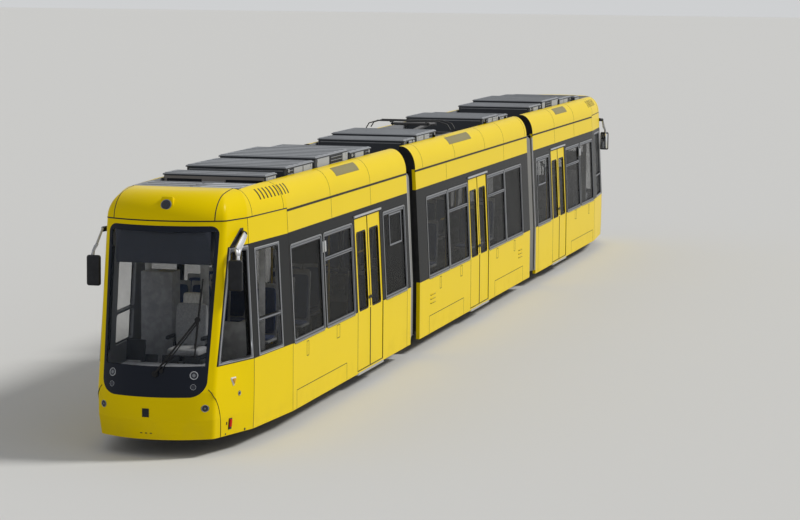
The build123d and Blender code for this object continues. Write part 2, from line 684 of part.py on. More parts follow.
def bogie(u):
    """Bogie frame: two side beams with axle boxes, transom, bolster, motors and track brakes."""
    half_base = WHEELBASE / 2
    beam_line = [(-BOGIE_HALF, BEAM_TOP_Z - 30), (-half_base, BEAM_TOP_Z), (half_base, BEAM_TOP_Z),
                 (BOGIE_HALF, BEAM_TOP_Z - 30), (BOGIE_HALF, BEAM_TOP_Z - 110),
                 (half_base - 220, BEAM_LOW_Z), (500, BEAM_LOW_Z - 50), (-500, BEAM_LOW_Z - 50),
                 (-half_base + 220, BEAM_LOW_Z), (-BOGIE_HALF, BEAM_TOP_Z - 110)]
    outline = Polyline([(a, BEAM_IN, b) for a, b in beam_line], close=True)
    beam = extrude(make_face(outline), amount=BEAM_WIDTH, dir=(0, 1, 0))
    centre = BEAM_IN + BEAM_WIDTH / 2
    for s in (-1, 1):
        beam += Pos(s * half_base, centre, AXLE_Z) * Rot(90, 0, 0) * Cylinder(AXLE_BOX_R, BEAM_WIDTH + 10)
        beam += Pos(s * SPRING_U, centre, (BEAM_TOP_Z - 10 + HIGH_UNDERSIDE_Z - SEAT_GAP) / 2) * Cylinder(
            SPRING_R, HIGH_UNDERSIDE_Z - SEAT_GAP - BEAM_TOP_Z + 10)
        beam += box(s * 300 - 30, s * 300 + 30, BEAM_IN - 130, BEAM_IN + 20, 130, BEAM_LOW_Z)
        beam -= Pos(s * half_base, centre, AXLE_Z) * Rot(90, 0, 0) * Cylinder(JOURNAL_R + RUN_GAP, 300)
    beam += box(-400, 400, BEAM_IN - 160, BEAM_IN - 85, 55, 140)
    frame = beam + mirror(beam, about=Plane.XZ)
    frame += box(-TRANSOM_HALF, TRANSOM_HALF, -BEAM_IN - 5, BEAM_IN + 5, BEAM_LOW_Z - 40, BEAM_TOP_Z)
    top = HIGH_UNDERSIDE_Z - SEAT_GAP
    frame += Pos(0, 0, (BEAM_TOP_Z - 5 + top) / 2) * Cylinder(BOLSTER_R, top - BEAM_TOP_Z + 5)
    frame -= Pos(0, 0, HIGH_UNDERSIDE_Z - KINGPIN_DEPTH / 2 - 2) * Cylinder(
        KINGPIN_R + RUN_GAP, KINGPIN_DEPTH + 4)
    for s in (-1, 1):
        motor = Pos(s * 500, 0, AXLE_Z + 20) * Rot(90, 0, 0) * Cylinder(165, 760)
        frame += motor
        frame += box(min(s * 200, s * 500), max(s * 200, s * 500), -200, 200, AXLE_Z, AXLE_Z + 90)
    return Pos(u, 0, 0) * frame


def panto_points():
    a = radians(ARM_REST)
    knuckle = (PANTO_U + ARM_LENGTH * cos(a), PANTO_PIVOT_Z + ARM_LENGTH * sin(a))
    head = (PANTO_U, PANTO_PIVOT_Z + 2 * ARM_LENGTH * sin(a))
    return knuckle, head


def cross_bar(u, z, radius, half):
    return Pos(u, 0, z) * Rot(90, 0, 0) * Cylinder(radius, 2 * half)


def panto_base():
    """Base frame on insulators, with the arm's bearings and the lifting drive."""
    items = None
    u0, u1 = PANTO_U - 250, PANTO_U + ARM_LENGTH + 150
    frame_z = DECK_Z + 110
    for v in (-380, 380):
        bar = box(u0, u1, v - 25, v + 25, frame_z, frame_z + 40)
        items = bar if items is None else items + bar
    for u in (u0 + 25, PANTO_U, u1 - 25):
        items += box(u - 30, u + 30, -400, 400, frame_z, frame_z + 40)
    for u in (u0 + 60, u1 - 60):
        for v in (-380, 380):
            stack = Pos(u, v, (DECK_Z + frame_z) / 2) * Cylinder(38, frame_z - DECK_Z)
            for z in (DECK_Z + 25, DECK_Z + 55, DECK_Z + 85):
                stack += Pos(u, v, z) * Cylinder(60, 10)
            items += stack
    for v in (-235, 205):
        ear = box(PANTO_U - 45, PANTO_U + 45, v, v + 30, frame_z + 20, PANTO_PIVOT_Z)
        ear += Pos(PANTO_U, v + 15, PANTO_PIVOT_Z) * Rot(90, 0, 0) * Cylinder(45, 30)
        items += ear
    items -= cross_bar(PANTO_U, PANTO_PIVOT_Z, LOWER_TUBE_R - 13 + RUN_GAP, 300)
    items += box(PANTO_U + 200, PANTO_U + 620, 120, 360, frame_z + 20, frame_z + 95)
    return items


def lower_arm():
    knuckle, head = panto_points()
    arm = cross_bar(PANTO_U, PANTO_PIVOT_Z, LOWER_TUBE_R - 13, 250)
    arm += cross_bar(PANTO_U, PANTO_PIVOT_Z, LOWER_TUBE_R + 6, 190)
    arm += rod((PANTO_U, 0, PANTO_PIVOT_Z), (knuckle[0], 0, knuckle[1]), LOWER_TUBE_R)
    arm += cross_bar(knuckle[0], knuckle[1], LOWER_TUBE_R + 6, 48)
    return arm - cross_bar(knuckle[0], knuckle[1], ARM_PIN_R + RUN_GAP, 120)


def upper_arm():
    knuckle, head = panto_points()
    arm = cross_bar(knuckle[0], knuckle[1], ARM_PIN_R, 110)
    for s in (-1, 1):
        arm += Pos(knuckle[0], s * 88, knuckle[1]) * Rot(90, 0, 0) * Cylinder(34, 60)
        arm += rod((knuckle[0], s * 88, knuckle[1]), (head[0], s * (HEAD_SPAN - 60), head[1]), UPPER_TUBE_R)
    arm += cross_bar(head[0], head[1], UPPER_TUBE_R + 6, HEAD_SPAN - 30)
    arm += cross_bar(head[0], head[1], ARM_PIN_R, HEAD_SPAN + 30)
    return arm


def panto_head():
    knuckle, head = panto_points()
    top = head[1] + 70
    items = None
    for s in (-1, 1):
        plate = box(head[0] - STRIP_SPACING / 2, head[0] + STRIP_SPACING / 2,
                    s * HEAD_SPAN - 12, s * HEAD_SPAN + 12, top - 40, top - 18)
        plate += box(head[0] - 26, head[0] + 26, s * HEAD_SPAN - 12, s * HEAD_SPAN + 12, head[1], top - 20)
        plate += Pos(head[0], s * HEAD_SPAN, head[1]) * Rot(90, 0, 0) * Cylinder(30, 24)
        items = plate if items is None else items + plate
    half = STRIP_LENGTH / 2
    for s in (-1, 1):
        u = head[0] + s * STRIP_SPACING / 2
        strip = box(u - 18, u + 18, -half, half, top - 22, top)
        for t in (-1, 1):
            strip += rod((u, t * (half - 5), top - 14), (u, t * (half + 150), top - 60), 10)
            strip += rod((u, t * (half + 150), top - 60), (u, t * (half + 205), top - 150), 10)
            strip += Pos(u, t * (half + 150), top - 60) * Sphere(10)
        items += strip
    return items - cross_bar(head[0], head[1], ARM_PIN_R + RUN_GAP, HEAD_SPAN + 200)


def end_section(dome):
    """All pieces of one end section, by name."""
    shell, bumper, screen, panes = cab_pieces()
    lamps = []
    for v, z, r in lamp_places():
        lamps.append(screen & lamp(v, z, r - SEAT_GAP))
    for v, z, r in lamp_places():
        screen -= lamp(v, z, r)
    for s in (-1, 1):
        marker = lamp(s * MARKER_V, MARKER_Z, MARKER_RADIUS)
        lamps.append(bumper & lamp(s * MARKER_V, MARKER_Z, MARKER_RADIUS - SEAT_GAP))
        bumper -= marker
    pieces = {}
    pieces["cab_shell"] = [shell, bumper]
    pieces["windscreen"] = [screen]
    pieces["lamps"] = lamps
    pieces["side_panels"] = side_panels(CAB_LENGTH, END_LENGTH, END_DOOR_U)
    windows = end_windows()
    pieces["window_band"] = window_band(CAB_LENGTH, END_LENGTH, windows, END_DOOR_U,
                                        [END_LENGTH - PORTAL_THICK])
    leaves, door_panes = doors(END_DOOR_U)
    pieces["doors"] = leaves
    pieces["side_glass"] = panes + [pane for hole, pane in side_glass(windows)] + door_panes
    pieces["roof"] = [end_roof(dome)]
    pieces["floor"] = end_floor()
    half = side_y(SEAM_Z, WALL)
    rows = row_places(CAB_LENGTH + CAB_ROW_GAP, END_STEP_U, HIGH_ROW_PITCH, HIGH_FLOOR_Z)
    rows += row_places(END_DOOR_U + DOOR_WIDTH / 2 + DOOR_ROW_GAP,
                       END_LENGTH - PORTAL_THICK - PORTAL_ROW_GAP, LOW_ROW_PITCH, LOW_FLOOR_Z)
    pieces["seats"] = seat_rows(rows, half) + poles(END_DOOR_U)
    pieces["cab_interior"] = cab_inside()
    pieces["roof_units"] = units(END_UNITS)
    pieces["mirrors"] = mirrors()
    return pieces


def mid_section(dome):
    """All pieces of the middle section, by name."""
    windows = mid_windows()
    pieces = {}
    pieces["side_panels"] = side_panels(0, MID_LENGTH, MID_DOOR_U)
    pieces["window_band"] = window_band(0, MID_LENGTH, windows, MID_DOOR_U,
                                        [0, MID_LENGTH - PORTAL_THICK])
    leaves, door_panes = doors(MID_DOOR_U)
    pieces["doors"] = leaves
    pieces["side_glass"] = [pane for hole, pane in side_glass(windows)] + door_panes
    pieces["roof"] = [mid_roof(dome)]
    pieces["floor"] = mid_floor()
    half = side_y(SEAM_Z, WALL)
    rows = row_places(MID_BOGIE_U - BOGIE_ROOM + PLATFORM_ROW_GAP, MID_STEP_U, HIGH_ROW_PITCH,
                      HIGH_FLOOR_Z)
    rows += [Row(MID_LENGTH - row.u - SEAT_DEPTH - SEAT_RAKE, row.floor) for row in rows]
    pieces["seats"] = seat_rows(rows, half) + poles(MID_DOOR_U)
    pieces["roof_units"] = units(MID_UNITS)
    return pieces


def build():
    """Every piece of the tram in its own place, by node name."""
    nodes = {}
    front = Pos(-LENGTH / 2, 0, FLANGE_HEIGHT)
    turn = Rot(0, 0, 180)
    middle = Pos(-MID_LENGTH / 2, 0, FLANGE_HEIGHT)

    dome = cab_roof()
    for name, items in end_section(dome).items():
        nodes["front_" + name] = [front * item for item in items]
        nodes["rear_" + name] = [turn * front * item for item in items]
    for name, items in mid_section(dome).items():
        nodes["middle_" + name] = [middle * item for item in items]

    fold = bellows(END_LENGTH)
    nodes["front_bellows"] = [front * fold]
    nodes["rear_bellows"] = [turn * front * fold]

    half_base = WHEELBASE / 2
    places = [("front_bogie", front, END_BOGIE_U), ("middle_front_bogie", middle, MID_BOGIE_U)]
    mates = {"front_bogie": "rear_bogie", "middle_front_bogie": "middle_rear_bogie"}
    for name, where, u in places:
        frame = bogie(u)
        axles = [wheelset(u - half_base), wheelset(u + half_base)]
        nodes[name] = [where * frame]
        nodes[mates[name]] = [turn * where * frame]
        for label, axle in zip(("first", "second"), axles):
            nodes[name + "_" + label + "_wheelset"] = [where * axle]
            nodes[mates[name] + "_" + label + "_wheelset"] = [turn * where * axle]

    nodes["pantograph_base"] = [middle * panto_base()]
    nodes["pantograph_lower_arm"] = [middle * lower_arm()]
    nodes["pantograph_upper_arm"] = [middle * upper_arm()]
    nodes["pantograph_head"] = [middle * panto_head()]
    return nodes


os.makedirs("parts", exist_ok=True)
for node, pieces in build().items():
    export_step(as_compound(pieces), "parts/" + node + ".step")
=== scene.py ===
"""Looks of the three-section articulated tram, built around its solid model.

Lengths are in metres. X runs along the tram, the front cab is at -X, the side that the
camera sees is at -Y, and Z is up from the plane under the wheel flanges. Tables and helpers
give x from the nose and z from the rail top. Pieces of an end section are modelled on the
front one, and a copy turned half round serves the rear.
"""
import math
from contextlib import contextmanager

import bpy
from mathutils import Matrix, Vector


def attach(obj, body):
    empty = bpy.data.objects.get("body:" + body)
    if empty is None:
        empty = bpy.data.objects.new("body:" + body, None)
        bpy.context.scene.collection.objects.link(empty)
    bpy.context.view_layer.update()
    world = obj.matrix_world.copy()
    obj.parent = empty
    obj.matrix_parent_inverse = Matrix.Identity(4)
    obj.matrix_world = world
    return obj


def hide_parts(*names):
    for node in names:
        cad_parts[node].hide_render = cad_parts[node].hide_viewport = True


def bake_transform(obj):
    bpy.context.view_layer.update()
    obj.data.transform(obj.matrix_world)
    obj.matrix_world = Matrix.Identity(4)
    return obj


bl_info = {
    "name": "Articulated Tram",
    "version": (1, 0, 0),
    "blender": (4, 5, 0),
    "location": "View3D > Sidebar > Tram",
    "description": "Finishes and fittings of an articulated low-floor tram",
    "category": "Add Mesh",
}

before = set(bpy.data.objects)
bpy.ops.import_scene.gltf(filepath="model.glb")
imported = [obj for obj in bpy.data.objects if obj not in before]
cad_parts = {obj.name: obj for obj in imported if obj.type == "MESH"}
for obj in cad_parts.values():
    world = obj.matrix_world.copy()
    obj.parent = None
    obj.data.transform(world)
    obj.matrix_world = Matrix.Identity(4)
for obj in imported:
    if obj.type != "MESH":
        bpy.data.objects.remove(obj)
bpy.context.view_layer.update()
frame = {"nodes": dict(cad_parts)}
nodes = frame["nodes"]

# Main planes of the body, all measured from the plane under the wheel flanges
RAIL = 0.022
NOSE_X = -14.8
SILL = RAIL + 1.17
BAND = RAIL + 2.71
SEAM = RAIL + 3.05
DECK = RAIL + 3.18
HALF = 1.15
LEAN = 0.10 / (3.05 - 1.17)
TILT = math.atan(LEAN)
END_BACK = NOSE_X + 9.55
MID_FRONT = NOSE_X + 10.17
CAB_BACK = 2.75
CAB_MIDDLE = 13.2
CREASE = 1.25
DOME_END = 1.40
FAIRING = 0.775
END_DOOR = 6.98
MID_DOOR = 14.8
DOOR_HALF = 0.76
DOOR_STILE = 0.112
CASE_SIDE = 0.743
SMOOTH = 0.6

# Side windows: start and end from the nose, bottom, top and height of the vent's bar
END_WINDOWS = ((2.85, 4.37, 1.185, 2.51, None), (4.53, 6.05, 1.185, 2.51, 2.155),
               (7.955, 9.30, 1.185, 2.51, None))
MID_WINDOWS = ((10.87, 12.372, 1.185, 2.51, None), (12.457, 13.96, 1.185, 2.51, 2.155))
AXLES = (11.5, 9.7, 3.53, 1.73)
DIRT = (0.16, 0.14, 0.12, 1)

# Seats of a row, the lean of their backs and the poles by the doors
SEAT_Y = (0.463, 0.805, -0.51)
RECLINE = 0.11
POLE_Y = 0.70
POLE_RADIUS = 0.0175

# Lamps on the front as y and height, on the side as x from the nose and height
HEAD_LAMP = (-0.56, 1.075)
LOW_LAMP = (-0.56, 0.925)
BUMPER_LAMP = (-0.70, 0.64)
SIDE_LAMP = (0.887, 0.754)
INDICATOR = (0.741, 0.945)

# Wiper on the front: pivots of its two arms, and the place where they meet
WIPER_PIVOT = (-0.075, 1.09)
SECOND_PIVOT = (-0.15, 1.13)
WIPER_KNEE = (-0.557, 1.788)

# Rounding of thin metal and of the roof's fittings, and how deep thin joints are sunk
THIN_EDGE = 0.0015
ROOF_EDGE = 0.003
SUNK = -0.004
WELD = 0.00002

# Camera fitted to the photograph: place, then yaw, pitch and roll in radians
CAMERA_PLACE = (-32.2234, -11.4664, 6.4221)
CAMERA_TURN = (0.2464, 0.1113, 0.0083)
SENSOR_WIDTH = 36.0
VIEW_DEPTH = 500.0
FLOOR_SIZE = 600
SUN_FROM = (0.34, -0.66, 0.67)
SUN_SPREAD = math.radians(12)

# Cab outline: height, front tip, corner behind the tip, half width at the corner and crease
CAB = ((0.22, 0.070, 0.270, 0.780, 1.035), (0.48, 0.008, 0.290, 0.805, 1.045),
       (0.85, 0.0, 0.300, 0.812, 1.05), (1.17, 0.070, 0.295, 0.815, 1.05),
       (3.05, 0.450, 0.250, 0.825, 0.950))

# Roof cases: start and end from the nose, outer half width, height over the deck
CASES = {
    "front": ((1.48, 2.33, 0.755, 0.235), (2.73, 3.25, 0.74, 0.32), (3.72, 5.11, 0.74, 0.36),
              (5.24, 7.06, 0.74, 0.40), (7.16, 8.42, 0.74, 0.35)),
    "middle": ((10.59, 11.35, 0.74, 0.32), (11.47, 12.89, 0.74, 0.36),
               (16.72, 18.07, 0.74, 0.36), (18.19, 19.00, 0.74, 0.32)),
}

# Seat rows: front edge of the cushion from the nose, and the floor's height
END_ROWS = ((3.12, 0.72), (3.95, 0.72), (4.78, 0.72), (8.08, 0.35), (8.85, 0.35))
MID_ROWS = ((11.32, 0.72), (12.15, 0.72), (12.98, 0.72), (17.76, 0.72), (16.93, 0.72),
            (16.10, 0.72))


def wall_y(z):
    """Outside of the right-hand wall at a height over the wheel flanges."""
    return -(HALF - LEAN * max(0.0, z - SILL))


def cab_row(z):
    """Cab outline at a height above the rail."""
    z = min(max(z, CAB[0][0]), CAB[-1][0])
    for low, high in zip(CAB[:-1], CAB[1:]):
        if z <= high[0]:
            share = (z - low[0]) / (high[0] - low[0])
            return [a + share * (b - a) for a, b in zip(low, high)]
    return list(CAB[-1])


def cab_front(y, z):
    """Point on the cab's bowed front, from its height above the rail."""
    row = cab_row(z)
    bow, corner = row[2], row[3]
    radius = (bow ** 2 + corner ** 2) / (2 * bow)
    x = row[1] + radius - math.sqrt(radius ** 2 - min(abs(y), corner) ** 2)
    return Vector((NOSE_X + x, y, RAIL + z))


def cab_side(x, z):
    """Point on the right-hand facets of the cab."""
    row = cab_row(z)
    corner_x = row[1] + row[2]
    if x < CREASE:
        share = (x - corner_x) / (CREASE - corner_x)
        y = row[3] + share * (row[4] - row[3])
    else:
        share = min(1.0, (x - CREASE) / (CAB_BACK - CREASE))
        y = row[4] + share * (-wall_y(RAIL + z) - row[4])
    return Vector((NOSE_X + x, -y, RAIL + z))


def facing(surface, a, b, step=0.01):
    """Outward direction of a surface at a place."""
    along = surface(a + step, b) - surface(a - step, b)
    up = surface(a, b + step) - surface(a, b - step)
    normal = along.cross(up).normalized()
    outward = Vector((-1, 0, 0)) if surface is cab_front else Vector((0, -1, 0))
    return normal if normal.dot(outward) > 0 else -normal


def from_nose(x, y, z):
    """Point given by its distance from the nose and its height above the rail."""
    return Vector((NOSE_X + x, y, RAIL + z))


def lifted(surface, a, b, height):
    """A place above a surface."""
    return surface(a, b) + facing(surface, a, b) * height


# ---------------------------------------------------------------- sizes and colours
class TramPaint(bpy.types.PropertyGroup):
    """Colours of the tram's finishes."""
    yellow: bpy.props.FloatVectorProperty(
        name="Body yellow", description="Colour of the body paint", subtype="COLOR",
        size=4, min=0, max=1, default=(0.80, 0.59, 0.0, 1))
    band: bpy.props.FloatVectorProperty(
        name="Window band", description="Colour of the dark band round the windows",
        subtype="COLOR", size=4, min=0, max=1, default=(0.016, 0.017, 0.018, 1))
    frame: bpy.props.FloatVectorProperty(
        name="Window frames", description="Colour of the aluminium window frames",
        subtype="COLOR", size=4, min=0, max=1, default=(0.17, 0.18, 0.20, 1))
    case: bpy.props.FloatVectorProperty(
        name="Roof cases", description="Colour of the equipment cases on the roof",
        subtype="COLOR", size=4, min=0, max=1, default=(0.045, 0.05, 0.06, 1))
    lid: bpy.props.FloatVectorProperty(
        name="Roof lids", description="Colour of the lids and covers on the roof",
        subtype="COLOR", size=4, min=0, max=1, default=(0.27, 0.285, 0.31, 1))
    seat: bpy.props.FloatVectorProperty(
        name="Seat cloth", description="Colour of the seat pads", subtype="COLOR",
        size=4, min=0, max=1, default=(0.03, 0.06, 0.17, 1))


class TramTrim(bpy.types.PropertyGroup):
    """Sizes of the trim on the body."""
    frame_width: bpy.props.FloatProperty(
        name="Frame width", description="Width of the aluminium window frames",
        default=0.062, min=0.03, max=0.09, subtype="DISTANCE", unit="LENGTH")
    seam_width: bpy.props.FloatProperty(
        name="Seam width", description="Width of the dark joints between panels",
        default=0.010, min=0.002, max=0.02, subtype="DISTANCE", unit="LENGTH")
    seam_lift: bpy.props.FloatProperty(
        name="Seam lift", description="Height of the joint filler over the panels",
        default=0.0012, min=0.0002, max=0.005, subtype="DISTANCE", unit="LENGTH")
    bellows_folds: bpy.props.IntProperty(
        name="Bellows folds", description="Folds in each gangway bellows",
        default=8, min=4, max=16)
    wiper_width: bpy.props.FloatProperty(
        name="Wiper arm", description="Width of the wiper's arms",
        default=0.022, min=0.01, max=0.04, subtype="DISTANCE", unit="LENGTH")


class TramStage(bpy.types.PropertyGroup):
    """Floor, light and camera."""
    focal_length: bpy.props.FloatProperty(
        name="Lens", description="Focal length of the camera", default=119.02, min=20,
        max=300, unit="CAMERA")
    key_power: bpy.props.FloatProperty(
        name="Key light", description="Strength of the soft sun", default=2.4, min=0, max=10)
    sky_power: bpy.props.FloatProperty(
        name="Fill light", description="Strength of the even light from all round",
        default=0.42, min=0, max=5)
    floor: bpy.props.FloatVectorProperty(
        name="Floor", description="Colour of the studio floor", subtype="COLOR",
        size=4, min=0, max=1, default=(0.62, 0.62, 0.61, 1))


# ---------------------------------------------------------------- modelling helpers
def leave_edit():
    if bpy.context.object and bpy.context.object.mode != "OBJECT":
        bpy.ops.object.mode_set(mode="OBJECT")


def edit_all():
    """Opens the active object in edit mode with all of it selected."""
    bpy.ops.object.mode_set(mode="EDIT")
    bpy.ops.mesh.select_all(action="SELECT")


def pick(*objects):
    """Makes objects the only selected ones, and the first of them the active one."""
    leave_edit()
    bpy.ops.object.select_all(action="DESELECT")
    for obj in objects:
        obj.select_set(True)
    if objects:
        bpy.context.view_layer.objects.active = objects[0]


def open_piece(name):
    """An empty mesh, open in edit mode, that primitives are added to."""
    pick()
    bpy.ops.mesh.primitive_plane_add(size=1)
    obj = bpy.context.object
    obj.name = obj.data.name = name
    edit_all()
    bpy.ops.mesh.delete(type="VERT")
    return obj


def put_away():
    """Hides the geometry added so far, so that the next operator leaves it alone."""
    bpy.ops.mesh.select_all(action="SELECT")
    bpy.ops.mesh.hide(unselected=False)


def choose(obj, test):
    """Selects the vertices in sight that pass a test."""
    bpy.ops.mesh.select_mode(type="VERT")
    bpy.ops.mesh.select_all(action="DESELECT")
    bpy.ops.object.mode_set(mode="OBJECT")
    for vertex in obj.data.vertices:
        vertex.select = not vertex.hide and test(obj.matrix_world @ vertex.co)
    bpy.ops.object.mode_set(mode="EDIT")


def add_box(x0, x1, y0, y1, z0, z1, turn=(0, 0, 0)):
    centre = [(a + b) / 2 for a, b in (
        (NOSE_X + x0, NOSE_X + x1), (y0, y1), (RAIL + z0, RAIL + z1))]
    size = (abs(x1 - x0), abs(y1 - y0), abs(z1 - z0))
    bpy.ops.mesh.primitive_cube_add(size=1, location=centre, rotation=turn, scale=size)


def add_wall_block(x0, x1, z0, z1, inner, outer):
    """A block on the right-hand wall, between two depths from its face, that leans with it."""
    z = RAIL + (z0 + z1) / 2
    turn = -TILT if z > SILL else 0.0
    bpy.ops.mesh.primitive_cube_add(
        size=1, location=(NOSE_X + (x0 + x1) / 2, wall_y(z) - (inner + outer) / 2, z),
        rotation=(turn, 0, 0), scale=(abs(x1 - x0), abs(outer - inner), abs(z1 - z0)))


def add_faced_block(surface, a, b, width, depth, height):
    """A block set on the cab's front or side facet, square to the surface."""
    turn = facing(surface, a, b).to_track_quat("Z", "Y").to_euler()
    bpy.ops.mesh.primitive_cube_add(size=1, location=lifted(surface, a, b, depth / 2),
                                    rotation=turn, scale=(width, height, depth))


def add_disc(centre, direction, radius, depth, sides=32):
    turn = Vector(direction).to_track_quat("Z", "Y").to_euler()
    bpy.ops.mesh.primitive_cylinder_add(vertices=sides, radius=radius, depth=depth,
                                        location=centre, rotation=turn)


def add_rod(a, b, radius, sides=12):
    a, b = Vector(a), Vector(b)
    add_disc((a + b) / 2, b - a, radius, (b - a).length, sides)


def add_tube(points, radius, sides=10):
    """A bent bar through several points, with round joints."""
    for a, b in zip(points[:-1], points[1:]):
        add_rod(a, b, radius, sides)
    for point in points[1:-1]:
        bpy.ops.mesh.primitive_uv_sphere_add(segments=sides, ring_count=6, radius=radius,
                                             location=point)


def add_ring(centre, direction, radius, thick, sides=32):
    turn = Vector(direction).to_track_quat("Z", "Y").to_euler()
    bpy.ops.mesh.primitive_torus_add(location=centre, rotation=turn, major_radius=radius,
                                     minor_radius=thick, major_segments=sides, minor_segments=8)


def add_wall_ring(x0, x1, z0, z1, width, inner, outer, radius):
    """A rounded frame on the right-hand wall, between two depths from its face."""
    z = RAIL + (z0 + z1) / 2
    lean = TILT if z > SILL else 0.0
    centre = (NOSE_X + (x0 + x1) / 2, wall_y(z) - outer, z)
    bpy.ops.mesh.primitive_plane_add(size=1, location=centre, rotation=(math.pi / 2 - lean, 0, 0))
    bpy.ops.transform.resize(value=(x1 - x0, z1 - z0, z1 - z0), center_override=centre)
    bpy.ops.mesh.bevel(offset=radius, segments=5, affect="VERTICES")
    bpy.ops.mesh.inset(thickness=width, depth=0)
    bpy.ops.mesh.delete(type="FACE")
    bpy.ops.mesh.select_all(action="SELECT")
    bpy.ops.mesh.solidify(thickness=outer - inner)
    put_away()


def add_modifier(obj, kind, **values):
    pick(obj)
    mod = obj.modifiers.new(kind.title(), kind)
    for key, value in values.items():
        setattr(mod, key, value)
    bpy.ops.object.modifier_apply(modifier=mod.name)


def close_piece(obj, bevel, segments, crown):
    """Closes edit mode and rounds the edges, or makes crowned pads of the blocks."""
    bpy.ops.mesh.reveal(select=True)
    bpy.ops.mesh.normals_make_consistent(inside=False)
    bpy.ops.object.mode_set(mode="OBJECT")
    if crown:
        add_modifier(obj, "BEVEL", width=crown, segments=1, limit_method="NONE")
        add_modifier(obj, "SUBSURF", levels=2, render_levels=2)
    elif bevel:
        add_modifier(obj, "BEVEL", width=bevel, segments=segments, limit_method="ANGLE",
                     angle_limit=SMOOTH)
    pick(obj)
    if crown:
        bpy.ops.object.shade_smooth()
    else:
        bpy.ops.object.shade_smooth_by_angle(angle=SMOOTH)


def mirror_sides(obj, ends):
    """Doubles a right-hand piece onto the left-hand side, and to both ends if asked."""
    for axis in ([0, 1] if ends else [1]):
        add_modifier(obj, "MIRROR", use_axis=[axis == 0, axis == 1, False],
                     use_mirror_merge=False)
    pick(obj)
    edit_all()
    bpy.ops.mesh.normals_make_consistent(inside=False)
    bpy.ops.object.mode_set(mode="OBJECT")


def settle(obj, finish, body):
    """Puts a finished piece at the origin with its finish, and lets it ride on its body."""
    pick(obj)
    bpy.ops.object.transform_apply(location=True, rotation=True, scale=True)
    obj.data.materials.clear()
    obj.data.materials.append(materials[finish])
    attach(obj, body)


def turned_copy(obj, name):
    """A copy with its own mesh, turned half round for the other end of the tram."""
    pick(obj)
    bpy.ops.object.duplicate()
    copy = bpy.context.object
    copy.name = copy.data.name = name
    bpy.ops.transform.rotate(value=math.pi, orient_axis="Z", center_override=(0, 0, 0))
    bpy.ops.object.transform_apply(location=True, rotation=True, scale=True)
    return copy


def place(obj, where, name, finish):
    """Settles a piece on the middle section, or on the front one and a copy on the rear one."""
    if where == "middle":
        settle(obj, finish, "middle_section")
        return (obj,)
    rear = turned_copy(obj, "rear_" + name)
    obj.name = obj.data.name = "front_" + name
    settle(obj, finish, "front_section")
    settle(rear, finish, "rear_section")
    return obj, rear


@contextmanager
def piece(where, name, finish, bevel=0.0, segments=2, crown=0.0, mirrored=True,
          fill=None, stands_for=None, prefix=True):
    """Takes the primitives added inside it and finishes them as one piece.

    It goes to both end sections or to the middle one, and one side can serve for both.
    The fill of a pad is not used, and a piece can stand for the CAD node of its section."""
    obj = open_piece(where + "_" + name if prefix else name)
    yield obj
    close_piece(obj, bevel, segments, crown)
    if mirrored:
        mirror_sides(obj, ends=where == "middle")
    for part, section in zip(place(obj, where, name, finish), (where, "rear")):
        if stands_for:
            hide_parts(section + "_" + stands_for)


def join(objects, name):
    pick(*objects)
    if len(objects) > 1:
        bpy.ops.object.join()
    obj = bpy.context.object
    obj.name = obj.data.name = name
    return obj


def skin_patch(source, cuts, lift, keep):
    """A thin patch of a solid's own surface, cut out by planes, each a point and a normal.

    What lies beyond a plane is cut away, and only faces that keep() accepts stay."""
    obj = bpy.data.objects.new("patch", source.data.copy())
    bpy.context.collection.objects.link(obj)
    pick(obj)
    edit_all()
    bpy.ops.mesh.remove_doubles(threshold=WELD)
    for point, normal in cuts:
        bpy.ops.mesh.select_all(action="SELECT")
        bpy.ops.mesh.bisect(plane_co=point, plane_no=normal, clear_outer=True)
    bpy.ops.mesh.select_mode(type="FACE")
    bpy.ops.mesh.select_all(action="DESELECT")
    bpy.ops.object.mode_set(mode="OBJECT")
    for polygon in obj.data.polygons:
        polygon.select = not keep(polygon.center, polygon.normal)
    bpy.ops.object.mode_set(mode="EDIT")
    bpy.ops.mesh.delete(type="FACE")
    bpy.ops.mesh.select_mode(type="VERT")
    bpy.ops.object.mode_set(mode="OBJECT")
    if not obj.data.polygons:
        raise RuntimeError("nothing is left of the patch")
    if lift:
        add_modifier(obj, "SOLIDIFY", thickness=lift, offset=1)
    return obj


def between(axis, low, high):
    """Two cuts that keep what lies between two planes square to an axis."""
    direction = Vector([float(axis == k) for k in range(3)])
    return [(direction * high, direction), (direction * low, -direction)]


def ahead_of(x):
    """A cut that keeps what lies between the nose and a place along the body."""
    return [((NOSE_X + x, 0, 0), (1, 0, 0))]


def stretch(x0, x1):
    """Cuts that keep what lies between two places along the body."""
    return between(0, NOSE_X + x0, NOSE_X + x1)


def strip_at(x, half):
    """Cuts that keep a narrow strip round the body at a place along it."""
    return stretch(x - half, x + half)


def belt(z0, z1):
    """Cuts that keep what lies between two heights above the rail."""
    return between(2, RAIL + z0, RAIL + z1)


def outside(centre, normal):
    """True on faces that look away from the tram's middle line."""
    return normal.y * (1 if centre.y > 0 else -1) > 0.3


# ---------------------------------------------------------------- shader helpers
class Value:
    """A number from a shader node's output, ready for sums."""
    def __init__(self, tree, socket):
        self.tree, self.socket = tree, socket

    def __add__(self, other):
        return calc(self.tree, "ADD", self, other)

    def __sub__(self, other):
        return calc(self.tree, "SUBTRACT", self, other)

    def __mul__(self, other):
        return calc(self.tree, "MULTIPLY", self, other)

    def __abs__(self):
        return calc(self.tree, "ABSOLUTE", self)

    def ramp(self, low, high):
        """A smooth step from 0 at one value to 1 at another."""
        node = self.tree.nodes.new("ShaderNodeMapRange")
        node.interpolation_type = "SMOOTHSTEP"
        node.inputs["From Min"].default_value = low
        node.inputs["From Max"].default_value = high
        feed(self.tree, node.inputs["Value"], self)
        return Value(self.tree, node.outputs["Result"])


